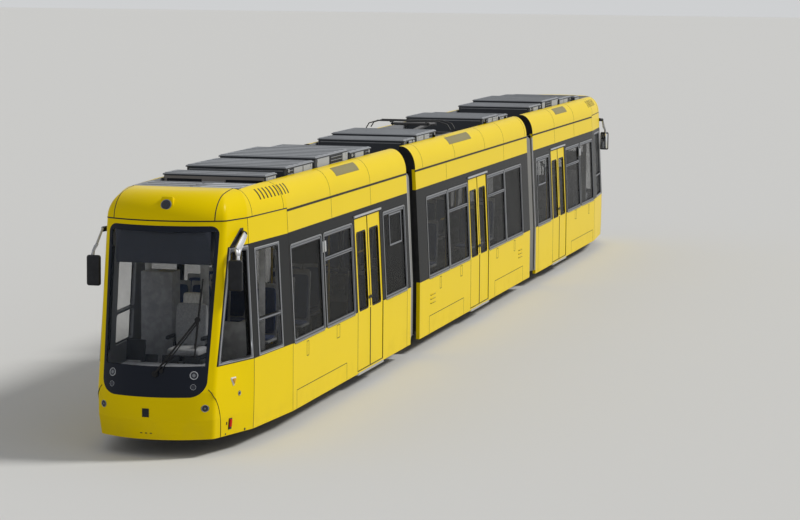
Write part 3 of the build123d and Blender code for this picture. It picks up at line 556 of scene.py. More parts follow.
def feed(tree, socket, value):
    """Sets a socket to a constant or links it."""
    if isinstance(value, Value):
        value = value.socket
    if isinstance(value, (int, float, tuple)):
        socket.default_value = value
    else:
        tree.links.new(value, socket)


def calc(tree, operation, *terms, clamp=False):
    node = tree.nodes.new("ShaderNodeMath")
    node.operation, node.use_clamp = operation, clamp
    for socket, term in zip(node.inputs, terms):
        feed(tree, socket, term)
    return Value(tree, node.outputs[0])


def noise(tree, scale, detail=3.0, rough=0.55):
    node = tree.nodes.new("ShaderNodeTexNoise")
    for key, value in (("Scale", scale), ("Detail", detail), ("Roughness", rough),
                       ("Vector", object_coords(tree))):
        feed(tree, node.inputs[key], value)
    return Value(tree, node.outputs["Fac"])


def mix_colour(tree, fac, a, b, blend="MIX"):
    node = tree.nodes.new("ShaderNodeMix")
    node.data_type, node.blend_type = "RGBA", blend
    for key, value in (("Factor", fac), (6, a), (7, b)):
        feed(tree, node.inputs[key], value)
    return node.outputs[2]


def object_coords(tree):
    return tree.nodes.new("ShaderNodeTexCoord").outputs["Object"]


def split(tree, vector):
    """The three parts of a vector."""
    node = tree.nodes.new("ShaderNodeSeparateXYZ")
    tree.links.new(vector, node.inputs[0])
    return [Value(tree, output) for output in node.outputs]


def place_xyz(tree):
    return split(tree, object_coords(tree))


def normal_xyz(tree):
    return split(tree, tree.nodes.new("ShaderNodeNewGeometry").outputs["Normal"])


def place_group(tree, group, values):
    node = tree.nodes.new("ShaderNodeGroup")
    node.node_tree = groups[group]
    for key, value in values.items():
        feed(tree, node.inputs[key], value)
    return node


def relief(tree, shader, height, strength, distance):
    node = tree.nodes.new("ShaderNodeBump")
    for key, value in (("Strength", strength), ("Distance", distance), ("Height", height)):
        feed(tree, node.inputs[key], value)
    tree.links.new(node.outputs["Normal"], shader.inputs["Normal"])


groups = {}
materials = {}


def new_group(key, name, inputs, outputs):
    group = groups[key] = bpy.data.node_groups.new(name, "ShaderNodeTree")
    for label, value in inputs:
        kind = "Color" if isinstance(value, tuple) else "Float"
        group.interface.new_socket(label, in_out="INPUT",
                                   socket_type="NodeSocket" + kind).default_value = value
    for label in outputs:
        group.interface.new_socket(label, in_out="OUTPUT", socket_type="NodeSocket" + (
            "Color" if label == "Colour" else "Float"))
    given, result = group.nodes.new("NodeGroupInput"), group.nodes.new("NodeGroupOutput")
    return group, given.outputs, result.inputs


def make_groups():
    """Effects that several finishes share."""
    # Road dirt low down, dust on faces that look up, and a slow change of tone
    tree, given, result = new_group(
        "weather", "Weathered surface",
        (("Colour", (0.5, 0.5, 0.5, 1)), ("Dirt colour", DIRT), ("Dirt", 0.5), ("Dust", 0.3),
         ("Tone change", 0.06), ("Roughness", 0.3)), ("Colour", "Roughness", "Height"))
    z = place_xyz(tree)[2]
    grain = noise(tree, 24.0, 4.0, 0.6)
    dirt = z.ramp(0.75, 0.15) * noise(tree, 3.1, 5.0, 0.6).ramp(0.3, 0.85) * given["Dirt"]
    dust = normal_xyz(tree)[2].ramp(0.35, 0.95) * grain.ramp(0.3, 0.75) * given["Dust"]
    mask = calc(tree, "MAXIMUM", dirt, dust, clamp=True)
    tone = (noise(tree, 0.7, 2.0) - 0.5) * given["Tone change"] * 2.0 + 1.0
    grey = tree.nodes.new("ShaderNodeCombineColor")
    for socket in grey.inputs[:3]:
        feed(tree, socket, tone)
    toned = mix_colour(tree, 1.0, given["Colour"], grey.outputs[0], "MULTIPLY")
    feed(tree, result["Colour"], mix_colour(tree, mask, toned, given["Dirt colour"]))
    feed(tree, result["Roughness"], calc(tree, "ADD", mask * 0.5 + given["Roughness"],
                                         (grain - 0.5) * 0.02, clamp=True))
    feed(tree, result["Height"], grain)

    # Fine grain of moulded plastic and rubber
    tree, given, result = new_group("grain", "Moulded grain", (("Scale", 300.0),),
                                    ("Height", "Mask"))
    cells = tree.nodes.new("ShaderNodeTexVoronoi")
    feed(tree, cells.inputs["Vector"], object_coords(tree))
    feed(tree, cells.inputs["Scale"], given["Scale"])
    feed(tree, result["Height"], cells.outputs["Distance"])
    feed(tree, result["Mask"], noise(tree, 9.0).ramp(0.35, 0.7))

    # Woven cloth on seat pads
    tree, given, result = new_group("weave", "Woven cloth", (("Scale", 700.0),),
                                    ("Height", "Mask"))
    threads = []
    for direction in ("X", "Z"):
        wave = tree.nodes.new("ShaderNodeTexWave")
        wave.bands_direction = direction
        feed(tree, wave.inputs["Vector"], object_coords(tree))
        feed(tree, wave.inputs["Scale"], given["Scale"])
        threads.append(wave.outputs["Fac"])
    feed(tree, result["Height"], calc(tree, "MAXIMUM", *threads))
    feed(tree, result["Mask"], noise(tree, 40.0).ramp(0.4, 0.62))


def new_material(name, colour, rough=0.4, metal=0.0, **sockets):
    material = materials[name] = bpy.data.materials.new(name)
    material.use_nodes = True
    material.diffuse_color = colour
    shader = material.node_tree.nodes["Principled BSDF"]
    for key, value in dict(sockets, base_color=colour, roughness=rough, metallic=metal).items():
        shader.inputs[key.replace("_", " ").title().replace("Ior", "IOR")].default_value = value
    return material.node_tree, shader


def drive(tree, shader, **values):
    """Feeds inputs of a material's main shader."""
    for key, value in values.items():
        feed(tree, shader.inputs[key.replace("_", " ").title()], value)


def weathered(name, colour, rough, dirt, dust, tone, metal=0.0, bump=0.0, dirt_colour=None,
              layers=(), **sockets):
    """A finish with road dirt, dust and a slight change of tone; layers are masks and colours."""
    tree, shader = new_material(name, colour, rough, metal, **sockets)
    base = colour
    for mask, above in layers:
        base = mix_colour(tree, mask(tree), base, above)
    made = place_group(tree, "weather", {
        "Colour": base, "Dirt colour": dirt_colour or DIRT, "Dirt": dirt, "Dust": dust,
        "Tone change": tone, "Roughness": rough}).outputs
    drive(tree, shader, base_color=made["Colour"], roughness=made["Roughness"])
    if bump:
        relief(tree, shader, made["Height"], bump, 0.002)


def textured(name, colour, rough, group="grain", scale=350.0, paler=(1.35, 0.004), bump=0.1,
             **sockets):
    """Moulded plastic, rubber or cloth, with a fine relief and paler patches."""
    tree, shader = new_material(name, colour, rough, **sockets)
    made = place_group(tree, group, {"Scale": scale}).outputs
    pale = tuple(min(1.0, c * paler[0] + paler[1]) for c in colour[:3]) + (1.0,)
    drive(tree, shader, base_color=mix_colour(tree, made["Mask"], colour, pale))
    relief(tree, shader, made["Height"], bump, 0.001)


def glazed(name, colour, alpha, rough=0.03, cab=None, shine=0.08):
    """Tinted pane: part see-through, with a little grime that varies over it."""
    tree, shader = new_material(name, colour, rough, specular_ior_level=shine)
    grime = noise(tree, 2.2, 4.0).ramp(0.35, 0.85) * 0.07
    if cab is not None:
        ahead = abs(place_xyz(tree)[0]).ramp(-NOSE_X - 2.6, -NOSE_X - 2.5)
        alpha = ahead * (cab - alpha) + alpha
    drive(tree, shader, alpha=calc(tree, "ADD", grime, alpha, clamp=True),
          roughness=grime * 1.2 + rough)


def windscreen_glass(name):
    """Clear glass with the black print round it; the print is opaque."""
    tree, shader = new_material(name, (0.02, 0.024, 0.03, 1), 0.04, specular_ior_level=0.14)
    _, y, z = place_xyz(tree)
    edge = (abs(y) - (z - (RAIL + 0.79)) * 0.0227).ramp(0.668, 0.676)
    low, high = z.ramp(RAIL + 1.19, RAIL + 1.18), z.ramp(RAIL + 2.915, RAIL + 2.925)
    mask = calc(tree, "MAXIMUM", calc(tree, "MAXIMUM", edge, low), high, clamp=True)
    grime = noise(tree, 1.7, 4.0).ramp(0.3, 0.9) * 0.06
    drive(tree, shader, alpha=calc(tree, "MAXIMUM", grime + 0.13, mask, clamp=True),
          base_color=mix_colour(tree, mask, (0.035, 0.045, 0.06, 1), (0.008, 0.011, 0.020, 1)),
          roughness=grime * 0.8 + 0.035)


def wheel_steel(name):
    """Rolled steel: bright on the tread and flange, dusty brown on the web and axle."""
    tree, shader = new_material(name, (0.2, 0.17, 0.14, 1), 0.5)
    x, _, z = place_xyz(tree)
    gaps = [abs(abs(x) - axle) for axle in AXLES]
    nearest = gaps[0]
    for gap in gaps[1:]:
        nearest = calc(tree, "MINIMUM", nearest, gap)
    rise = z - (RAIL + 0.295)
    bright = calc(tree, "SQRT", nearest * nearest + rise * rise).ramp(0.276, 0.288)
    rust = noise(tree, 14.0, 5.0, 0.65).ramp(0.35, 0.7)
    dull = mix_colour(tree, rust, (0.075, 0.062, 0.05, 1), (0.16, 0.10, 0.06, 1))
    drive(tree, shader, base_color=mix_colour(tree, bright, dull, (0.55, 0.54, 0.52, 1)),
          metallic=bright, roughness=calc(tree, "SUBTRACT", 0.75, bright * 0.45))


def cab_band_mask(tree):
    """One on the part of the cab that the dark window band covers, behind the slanted pillar."""
    x, _, z = place_xyz(tree)
    behind = calc(tree, "SUBTRACT", -NOSE_X, abs(x)) - (z - (RAIL + 1.18)) * 0.235
    return (z.ramp(SILL - 0.001, SILL + 0.001) * z.ramp(BAND + 0.001, BAND - 0.001)
            * behind.ramp(0.366, 0.370))


def inside_mask(tree):
    """One on faces of the body that look into the tram."""
    x, y, _ = place_xyz(tree)
    normal = normal_xyz(tree)
    ahead = (normal[0] * calc(tree, "SIGN", x) * (abs(x) - CAB_MIDDLE)
             * abs(x).ramp(-NOSE_X - CAB_BACK, -NOSE_X - 2.6))
    return (ahead + normal[1] * y).ramp(-0.05, -0.15)


def deck_mask(tree):
    """One on the flat deck between the roof fairings, behind the dome."""
    x, y, _ = place_xyz(tree)
    return (normal_xyz(tree)[2].ramp(0.9, 0.95) * abs(y).ramp(0.771, 0.769)
            * abs(x).ramp(-NOSE_X - DOME_END, -NOSE_X - DOME_END - 0.01))


def lid_mask(tree):
    """One on the lids of the roof cases and on other faces that look up."""
    return normal_xyz(tree)[2].ramp(0.55, 0.65)


def make_materials():
    paint = bpy.context.scene.tram_paint
    yellow, band, lid = tuple(paint.yellow), tuple(paint.band), tuple(paint.lid)
    make_groups()
    lining = (inside_mask, (0.30, 0.31, 0.33, 1))
    for name, layers in (
            ("body_yellow", (lining,)),
            ("roof_yellow", (lining, (deck_mask, (0.27, 0.27, 0.26, 1)))),
            ("cab_yellow", ((cab_band_mask, band), lining))):
        weathered(name, yellow, 0.28, 0.15, 0.0, 0.03, layers=layers, specular_ior_level=0.04,
                  dirt_colour=(0.30, 0.22, 0.08, 1))
    dusty = {"dirt_colour": (0.24, 0.235, 0.22, 1)}
    dull, satin = {"specular_ior_level": 0.2}, {"specular_ior_level": 0.3}
    # Name, colour, roughness, dirt, dust, change of tone and other values
    for name, colour, rough, dirt, dust, tone, other in (
            ("window_band", band, 0.2, 0.1, 0.1, 0.1, {"specular_ior_level": 0.015}),
            ("window_frame_aluminium", tuple(paint.frame), 0.4, 0.2, 0.2, 0.08, {"metal": 0.4}),
            ("cast_aluminium", (0.46, 0.47, 0.49, 1), 0.42, 0.0, 0.1, 0.1, {"metal": 0.35}),
            ("bare_aluminium", (0.56, 0.57, 0.58, 1), 0.34, 0.2, 0.15, 0.06, {"metal": 0.75}),
            ("roof_case", tuple(paint.case), 0.5, 0.0, 0.3, 0.3,
             dict(dusty, layers=((lid_mask, lid),), **satin)),
            # Near-black of the slots in the case's front plate, and painted shade for the hollows
            # behind the roof slats and for the shaded front edge of the pale cover
            ("slots_and_painted_shade", (0.008, 0.010, 0.016, 1), 0.5, 0.0, 0.2, 0.12, dict(dusty, **dull)),
            ("roof_lid", lid, 0.5, 0.0, 0.3, 0.2, {"dirt_colour": (0.30, 0.29, 0.27, 1)}),
            ("roof_panel", (0.36, 0.375, 0.40, 1), 0.5, 0.0, 0.15, 0.15, dict(dusty, **satin)),
            ("dark_underframe", (0.035, 0.033, 0.03, 1), 0.7, 0.8, 0.5, 0.2,
             {"bump": 0.1, "dirt_colour": (0.13, 0.11, 0.09, 1)}),
            ("bellows_cloth", (0.27, 0.27, 0.26, 1), 0.8, 0.3, 0.2, 0.15, dull),
            ("roof_case_front", (0.26, 0.24, 0.225, 1), 0.6, 0.0, 0.2, 0.25,
             dict(dusty, **dull)),
            ("pantograph_paint", (0.07, 0.07, 0.075, 1), 0.45, 0.0, 0.35, 0.1, {}),
            ("contact_carbon", (0.03, 0.03, 0.032, 1), 0.4, 0.0, 0.2, 0.2, {}),
            ("brown_insulator", (0.16, 0.06, 0.03, 1), 0.25, 0.0, 0.25, 0.1,
             {"coat_weight": 0.5}),
            ("roof_plate", (0.20, 0.17, 0.05, 1), 0.5, 0.0, 0.2, 0.1, {}),
            ("pale_roof_lid", (0.46, 0.48, 0.51, 1), 0.4, 0.0, 0.1, 0.15, {}),
            ("pale_paint", (0.62, 0.63, 0.64, 1), 0.4, 0.0, 0.1, 0.04, {})):
        weathered(name, colour, rough, dirt, dust, tone, **other)
    for name, colour, rough, other in (
            ("black_rubber", (0.008, 0.008, 0.009, 1), 0.55, dull),
            ("dark_plastic", (0.008, 0.009, 0.012, 1), 0.4, {"specular_ior_level": 0.25}),
            ("cab_grey", (0.38, 0.39, 0.42, 1), 0.6, {}),
            ("pale_lining", (0.58, 0.59, 0.60, 1), 0.6, {}),
            ("seat_shell", (0.52, 0.53, 0.54, 1), 0.5, {}),
            ("grab_pole", (0.62, 0.42, 0.02, 1), 0.35, {"scale": 200.0}),
            ("blank_display", (0.008, 0.012, 0.026, 1), 0.3, {})):
        textured(name, colour, rough, **other)
    for name, colour in (("seat_cloth", tuple(paint.seat)),
                         ("driver_seat_cloth", (0.40, 0.41, 0.43, 1)),
                         ("headrest_cloth", (0.72, 0.72, 0.70, 1))):
        textured(name, colour, 0.9, "weave", 500.0, (1.2, 0.01), 0.3, sheen_weight=0.25)
    glazed("tinted_side_glass", (0.006, 0.007, 0.008, 1), 0.40, cab=0.18, shine=0.03)
    glazed("lamp_cover", (0.012, 0.016, 0.03, 1), 0.94, rough=0.06, shine=0.5)
    glazed("red_lamp", (0.60, 0.02, 0.01, 1), 0.92, rough=0.12)
    glazed("amber_lamp", (0.60, 0.30, 0.05, 1), 0.92, rough=0.12)
    windscreen_glass("windscreen_glass")
    wheel_steel("wheel_steel")
    new_material("mirror_face", (0.85, 0.87, 0.88, 1), 0.03, 1.0)


# ---------------------------------------------------------------- pieces
NODE_FINISH = {
    "cab_shell": "cab_yellow", "windscreen": "windscreen_glass", "lamps": "lamp_cover",
    "side_panels": "body_yellow", "window_band": "window_band", "doors": "body_yellow",
    "side_glass": "tinted_side_glass", "roof": "roof_yellow", "floor": "dark_underframe",
    "seats": "seat_shell", "cab_interior": "cab_grey", "roof_units": "roof_case",
    "mirrors": "dark_plastic", "bellows": "bellows_cloth", "bogie": "dark_underframe",
    "wheelset": "wheel_steel", "pantograph_base": "pantograph_paint",
    "lower_arm": "pantograph_paint", "upper_arm": "pantograph_paint",
    "pantograph_head": "contact_carbon"}


class TRAM_OT_finishes(bpy.types.Operator):
    """Gives each solid of the tram its finish"""
    bl_idname = "tram.finishes"
    bl_label = "Finishes"

    def execute(self, context):
        make_materials()
        for name, node in nodes.items():
            for word, finish in NODE_FINISH.items():
                if name.endswith(word):
                    node.data.materials.clear()
                    node.data.materials.append(materials[finish])
        return {"FINISHED"}


class TRAM_OT_window_frames(bpy.types.Operator):
    """Aluminium frames, rubber beads and latches of the side windows"""
    bl_idname = "tram.window_frames"
    bl_label = "Window frames"

    def execute(self, context):
        width = context.scene.tram_trim.frame_width
        out, band = 0.034, width * 0.45
        mid = width * 0.5 - out
        # Rings by inset, width, two depths and corner radius, and the vent's bar
        kinds = (
            ("frames", "window_frame_aluminium", THIN_EDGE,
             ((-out, band, -0.013, 0.004, 0.05), (mid, band, -0.013, -0.002, 0.04)),
             (0.01, 0.025, -0.013, 0.001)),
            ("beads", "black_rubber", 0.0,
             ((-out - 0.008, 0.010, -0.004, 0.0025, 0.055),
              (band - out, width * 0.1, -0.013, 0.0, 0.045),
              (mid + band, 0.012, -0.013, -0.003, 0.035)), (0.03, 0.006, -0.004, 0.0015)),
            ("lines", "bare_aluminium", 0.0, ((-out, 0.005, -0.004, 0.0052, 0.05),), None))
        for where, windows in (("front", END_WINDOWS), ("middle", MID_WINDOWS)):
            for kind, finish, bevel, rings, cross in kinds:
                with piece(where, "window_" + kind, finish, bevel):
                    for window in windows:
                        self.surround(window, rings, cross)
        with piece("front", "end_vent", "window_frame_aluminium", THIN_EDGE):
            add_wall_ring(8.33, 9.10, 1.965, 2.475, 0.028, -0.013, -0.004, 0.02)
        with piece("front", "window_latches", "bare_aluminium", 0.006):
            for x0, x1 in ((4.385, 4.42), (4.475, 4.555)):
                add_wall_block(x0, x1, 2.27, 2.43, -0.004, 0.026)
        return {"FINISHED"}

    def surround(self, window, rings, cross):
        """The rings of one window, and its bar where it has a vent."""
        x0, x1, z0, z1, bar = window
        for inset, width, inner, outer, radius in rings:
            add_wall_ring(x0 + inset, x1 - inset, z0 + inset, z1 - inset, width, inner, outer,
                          radius)
        if bar and cross:
            gap, half, inner, outer = cross
            add_wall_block(x0 + gap, x1 - gap, bar - half, bar + half, inner, outer)
            put_away()


class TRAM_OT_door_trim(bpy.types.Operator):
    """Rubber edges, glass seals, rain strips, sills and buttons of the doors"""
    bl_idname = "tram.door_trim"
    bl_label = "Door trim"

    def execute(self, context):
        # The middle door lies across the mirror's plane, so only its front half is drawn
        for where, middle, sides, reach, over in (
                ("front", END_DOOR, (-1, 1), END_DOOR + DOOR_HALF, 0.04),
                ("middle", MID_DOOR, (-1,), MID_DOOR, 0.0)):
            with piece(where, "door_seals", "black_rubber"):
                for side in sides:
                    edge, lip = middle + side * DOOR_HALF, middle + side * 0.008
                    for z0, z1 in ((0.25, 1.16), (1.18, 2.585)):
                        add_wall_block(edge - 0.008, edge + 0.008, z0, z1, -0.012, 0.001)
                        add_wall_block(lip - 0.0075, lip + 0.0075, z0, z1, -0.02, -0.003)
                add_wall_block(middle - DOOR_HALF, reach, 2.578, 2.592, -0.012, 0.001)
                put_away()
                for side in sides:
                    near, far = sorted((middle + side * DOOR_STILE,
                                        middle + side * (DOOR_HALF - DOOR_STILE)))
                    add_wall_ring(near - 0.010, far + 0.010, 1.16, 2.375, 0.022, -0.020,
                                  -0.0065, 0.055)
            with piece(where, "door_strips", "bare_aluminium", 0.004):
                add_wall_block(middle - 0.80, reach + over, 2.602, 2.634, -0.002, 0.024)
                add_wall_block(middle - 0.745, reach, 0.196, 0.232, -0.06, 0.016)
            with piece(where, "door_steps", "black_rubber", 0.002):
                add_wall_block(middle - 0.75, reach, 0.234, 0.262, -0.04, -0.001)
            with piece(where, "door_buttons", "dark_plastic", 0.002):
                for side in sides:
                    x, z = middle + side * 0.06, RAIL + 1.32
                    add_disc((NOSE_X + x, wall_y(z) + 0.004, z), (0, -1, 0.05), 0.026, 0.014, 24)
        return {"FINISHED"}


# Joints on the sides: gutter's ends, uprights as x and two heights, level ones as two x and a
# height, flaps
SIDE_LINES = {
    "front": ((CAB_BACK, 9.55),
              ((2.94, 0.22, 0.485), (5.59, 0.22, 0.485), (5.0, 2.715, 3.012),
               (7.24, 2.715, 3.012), (9.3, 0.22, 1.165)),
              ((2.94, 5.59, 0.485), (2.75, 6.22, 1.17), (7.74, 9.55, 1.17), (2.75, 9.55, 2.71)),
              ((3.43, 3.54, 0.896, 1.111), (5.02, 5.19, 0.93, 1.13))),
    "middle": ((10.17, 14.8),
               ((10.86, 0.22, 0.52), (13.48, 0.22, 0.52), (12.4, 2.715, 3.012)),
               ((10.86, 13.48, 0.52), (10.17, 14.04, 1.17), (10.17, 14.8, 2.71)),
               ((11.62, 11.74, 0.90, 1.11), (13.2, 13.36, 0.93, 1.12))),
}

# Bumper's joint down the side of the cab: x and z
BUMPER_SIDE = ((0.315, 0.752), (0.343, 0.71), (0.37, 0.669), (0.398, 0.607), (0.422, 0.535),
               (0.442, 0.459), (0.462, 0.375), (0.477, 0.30), (0.488, 0.222))


class TRAM_OT_panel_joints(bpy.types.Operator):
    """Dark joints between body panels, hatches and the gutter lines"""
    bl_idname = "tram.panel_joints"
    bl_label = "Panel joints"

    def execute(self, context):
        trim = context.scene.tram_trim
        half, lift = trim.seam_width / 2, trim.seam_lift
        self.roof_joints(half, lift)
        for where, (gutter, uprights, flats, flaps) in SIDE_LINES.items():
            with piece(where, "panel_lines", "black_rubber"):
                add_wall_block(*gutter, 3.009, 3.041, -0.012, 0.003)
                for x, z0, z1 in uprights:
                    add_wall_block(x - half, x + half, z0, z1, SUNK, lift)
                for x0, x1, z in flats:
                    add_wall_block(x0, x1, z - half, z + half, SUNK, lift)
                put_away()
                for flap in flaps:
                    add_wall_ring(*flap, 2 * half, SUNK, lift, 0.012)
        # Louvre hoods on the middle section's side, each with a black strip under it that is
        # painted shade beneath the hood
        for name, drop, proud, finish in (("side_louvres", 0.0, 0.012, "body_yellow"),
                                          ("side_louvre_painted_shade", -0.014, 0.002, "black_rubber")):
            with piece("middle", name, finish, 0.001, prefix=False):
                for k in range(3):
                    z = 0.73 + 0.07 * k + drop
                    add_wall_block(10.93, 11.30, z, z + 0.014, -0.002, proud)
        with piece("front", "bumper_joint", "black_rubber"):
            points = [cab_front(y, z) for y, z in ((-0.735, 0.885), (-0.772, 0.84))]
            points.append(Vector((NOSE_X + 0.282, -0.797, RAIL + 0.79)))
            add_tube(points + [cab_side(x, z) for x, z in BUMPER_SIDE], 0.0055, 8)
        return {"FINISHED"}

    def roof_joints(self, half, lift):
        """Joints that follow the curved roof and the cab's facets."""
        roof = nodes["front_roof"]
        dome_end = DOME_END - 0.001

        def skyward(centre, normal):
            return normal.z > -0.3 and (abs(centre.y) > FAIRING or centre.x < NOSE_X + dome_end)

        patches = [skin_patch(roof, between(2, SEAM - 0.001, SEAM + 0.016) + ahead_of(CAB_BACK),
                              0.002,
                              lambda c, n: abs(n.z) < 0.8 and (n.x < -0.1 or outside(c, n)))]
        for y in (-0.70, 0.70):
            patches.append(skin_patch(roof, between(1, y - 0.006, y + 0.006)
                                      + ahead_of(dome_end), lift, skyward))
        for x in (1.42, 2.62, 4.96, 7.24):
            patches.append(skin_patch(roof, strip_at(x, half), lift, skyward))
        for x in (CREASE, CAB_BACK - 0.004):
            patches.append(skin_patch(nodes["front_cab_shell"], strip_at(x, half), lift,
                                      outside))
        place(join(patches, "body_joints"), "front", "body_joints", "black_rubber")
        patches = [skin_patch(nodes["middle_roof"], strip_at(x, half), lift,
                              lambda c, n: n.z > -0.3 and abs(c.y) > FAIRING)
                   for x in (10.69, 13.09, 15.55, 17.22, 19.26)]
        place(join(patches, "middle_roof_joints"), "middle", "roof_joints", "black_rubber")


class TRAM_OT_cab_windows(bpy.types.Operator):
    """Frames round the cab's side windows"""
    bl_idname = "tram.cab_windows"
    bl_label = "Cab window frames"

    def execute(self, context):
        shell = nodes["front_cab_shell"]
        pillar = ((NOSE_X + 0.392, 0, RAIL + 1.18), Vector((-0.972, 0, 0.235)).normalized())
        frames = [skin_patch(shell, belt(1.178, top) + cuts, 0.003, outside)
                  for top, cuts in ((2.695, [pillar] + ahead_of(1.232)),
                                    (2.638, stretch(1.437, 2.372)))]
        place(join(frames, "cab_frames"), "front", "cab_frames", "window_frame_aluminium")
        # Corners of each ring: two x on the sill, two x at the head, sill and head
        for name, finish, height, radius, rings in (
                ("cab_frame_lines", "bare_aluminium", 0.003, 0.004,
                 ((0.418, 1.222, 0.778, 1.192, 2.68), (1.447, 2.362, 1.447, 1.188, 2.628))),
                ("cab_beads", "black_rubber", -0.002, 0.007,
                 ((0.452, 1.178, 0.806, 1.222, 2.633), (1.487, 2.323, 1.487, 1.222, 2.593),
                  (1.487, 2.323, 1.487, 1.645, 1.675)))):
            with piece("front", name, finish):
                for low, back, high, sill, head in rings:
                    corners = ((low, sill), (back, sill), (back, head), (high, head), (low, sill))
                    add_tube([lifted(cab_side, x, z, height) for x, z in corners], radius, 6)
        return {"FINISHED"}


class TRAM_OT_cab_front(bpy.types.Operator):
    """Lamp bezels, side lamps, wiper, roof lamp and the bumper's covers"""
    bl_idname = "tram.cab_front"
    bl_label = "Cab front"

    def execute(self, context):
        self.lamps()
        self.side_lamps()
        self.wiper(context.scene.tram_trim.wiper_width)
        self.roof_lamp()
        return {"FINISHED"}

    def lamps(self):
        with piece("front", "lamp_rings", "roof_panel"):
            for spot, radius, thick in ((HEAD_LAMP, 0.050, 0.0055), (LOW_LAMP, 0.036, 0.0016),
                                        (BUMPER_LAMP, 0.046, 0.0028)):
                add_ring(lifted(cab_front, *spot, 0.001), facing(cab_front, *spot), radius, thick)
        with piece("front", "lamp_eyes", "window_frame_aluminium"):
            for spot, radius in ((HEAD_LAMP, 0.022), (BUMPER_LAMP, 0.012)):
                add_disc(lifted(cab_front, *spot, 0.0005), facing(cab_front, *spot), radius,
                         0.004, 24)

    def side_lamps(self):
        """Red marker, round covers and the indicator on the side, plates on the bumper."""
        with piece("front", "side_markers", "red_lamp", 0.008, 3):
            add_faced_block(cab_side, 0.682, 0.385, 0.052, 0.022, 0.105)
        with piece("front", "side_bases", "dark_plastic", THIN_EDGE):
            add_faced_block(cab_side, 0.682, 0.375, 0.075, 0.008, 0.15)
            for spot, radius in ((SIDE_LAMP, 0.034), ((1.048, 0.245), 0.018),
                                 ((0.60, 0.245), 0.012)):
                add_disc(cab_side(*spot), facing(cab_side, *spot), radius, 0.008, 24)
            add_faced_block(cab_side, 0.60, 0.39, 0.02, 0.006, 0.04)
        with piece("front", "bumper_plates", "dark_plastic", THIN_EDGE, mirrored=False):
            add_faced_block(cab_front, 0.046, 0.582, 0.095, 0.004, 0.115)
            for y in (-0.012, 0.055, 0.122):
                add_faced_block(cab_front, y, 0.307, 0.03, 0.004, 0.012)
        with piece("front", "side_rings", "bare_aluminium"):
            add_ring(lifted(cab_side, *SIDE_LAMP, 0.004), facing(cab_side, *SIDE_LAMP), 0.026,
                     0.004, 24)
        turn = facing(cab_side, *INDICATOR).to_track_quat("Z", "Y").to_matrix()
        turn = (turn @ Matrix.Rotation(math.pi, 3, "Z")).to_euler()
        for name, size, finish, height in (("indicator_housings", 1.15, "pale_paint", 0.006),
                                           ("side_indicators", 0.8, "amber_lamp", 0.016)):
            with piece("front", name, finish, 0.018 * size, 4):
                bpy.ops.mesh.primitive_cone_add(
                    vertices=3, radius1=0.085 * size, radius2=0.055 * size, depth=0.022,
                    location=lifted(cab_side, *INDICATOR, height), rotation=turn)

    def wiper(self, width):
        """One wiper with two arms, laid up on the right-hand half of the windscreen."""
        with piece("front", "wiper", "black_rubber", mirrored=False):
            knee = lifted(cab_front, *WIPER_KNEE, 0.055)
            for pivot, radius, depth in ((WIPER_PIVOT, 0.04, 0.05), (SECOND_PIVOT, 0.026, 0.04)):
                add_disc(lifted(cab_front, *pivot, depth * 0.4), facing(cab_front, *pivot),
                         radius, depth, 20)
            add_rod(lifted(cab_front, *WIPER_PIVOT, 0.05), knee, width * 0.6, 8)
            second = lifted(cab_front, -0.553, 1.735, 0.045)
            add_rod(lifted(cab_front, *SECOND_PIVOT, 0.04), second, width * 0.42, 8)
            add_rod(second, knee, width * 0.8, 8)
            add_disc(knee, facing(cab_front, *WIPER_KNEE), 0.038, 0.035, 16)
            low, high, steps = Vector((-0.552, 1.287)), Vector((-0.598, 2.315)), 8
            points = [lifted(cab_front, *low.lerp(high, k / steps), 0.014)
                      for k in range(steps + 1)]
            for a, b in zip(points[:-1], points[1:]):
                add_rod(a, b, 0.010, 6)
            raised = [point + Vector((-0.02, 0, 0)) for point in points]
            for a, b in ((1, 3), (5, 7), (2, 6)):
                add_rod(raised[a], raised[b], 0.012, 6)

    def roof_lamp(self):
        """Round lamp on a wedge-shaped bracket that stands out of the dome."""
        base = Vector((NOSE_X + 0.535, -0.06, RAIL + 3.262))
        tilt = Vector((-0.93, 0, 0.37)).normalized()
        with piece("front", "roof_lamp_bracket", "body_yellow", 0.012, 3,
                   mirrored=False) as bracket:
            bpy.ops.mesh.primitive_cube_add(
                size=1, location=base - tilt * 0.045, scale=(0.235, 0.24, 0.09),
                rotation=tilt.to_track_quat("Z", "Y").to_euler())
            choose(bracket, lambda v: v.z > base.z)
            bpy.ops.transform.resize(value=(1, 0.66, 1), center_override=base)
        with piece("front", "roof_lamp_ring", "window_frame_aluminium", mirrored=False):
            add_ring(base + tilt * 0.008, tilt, 0.066, 0.008, 40)
        with piece("front", "roof_lamp_lens", "lamp_cover", 0.005, mirrored=False):
            add_disc(base + tilt * 0.008, tilt, 0.062, 0.022, 40)


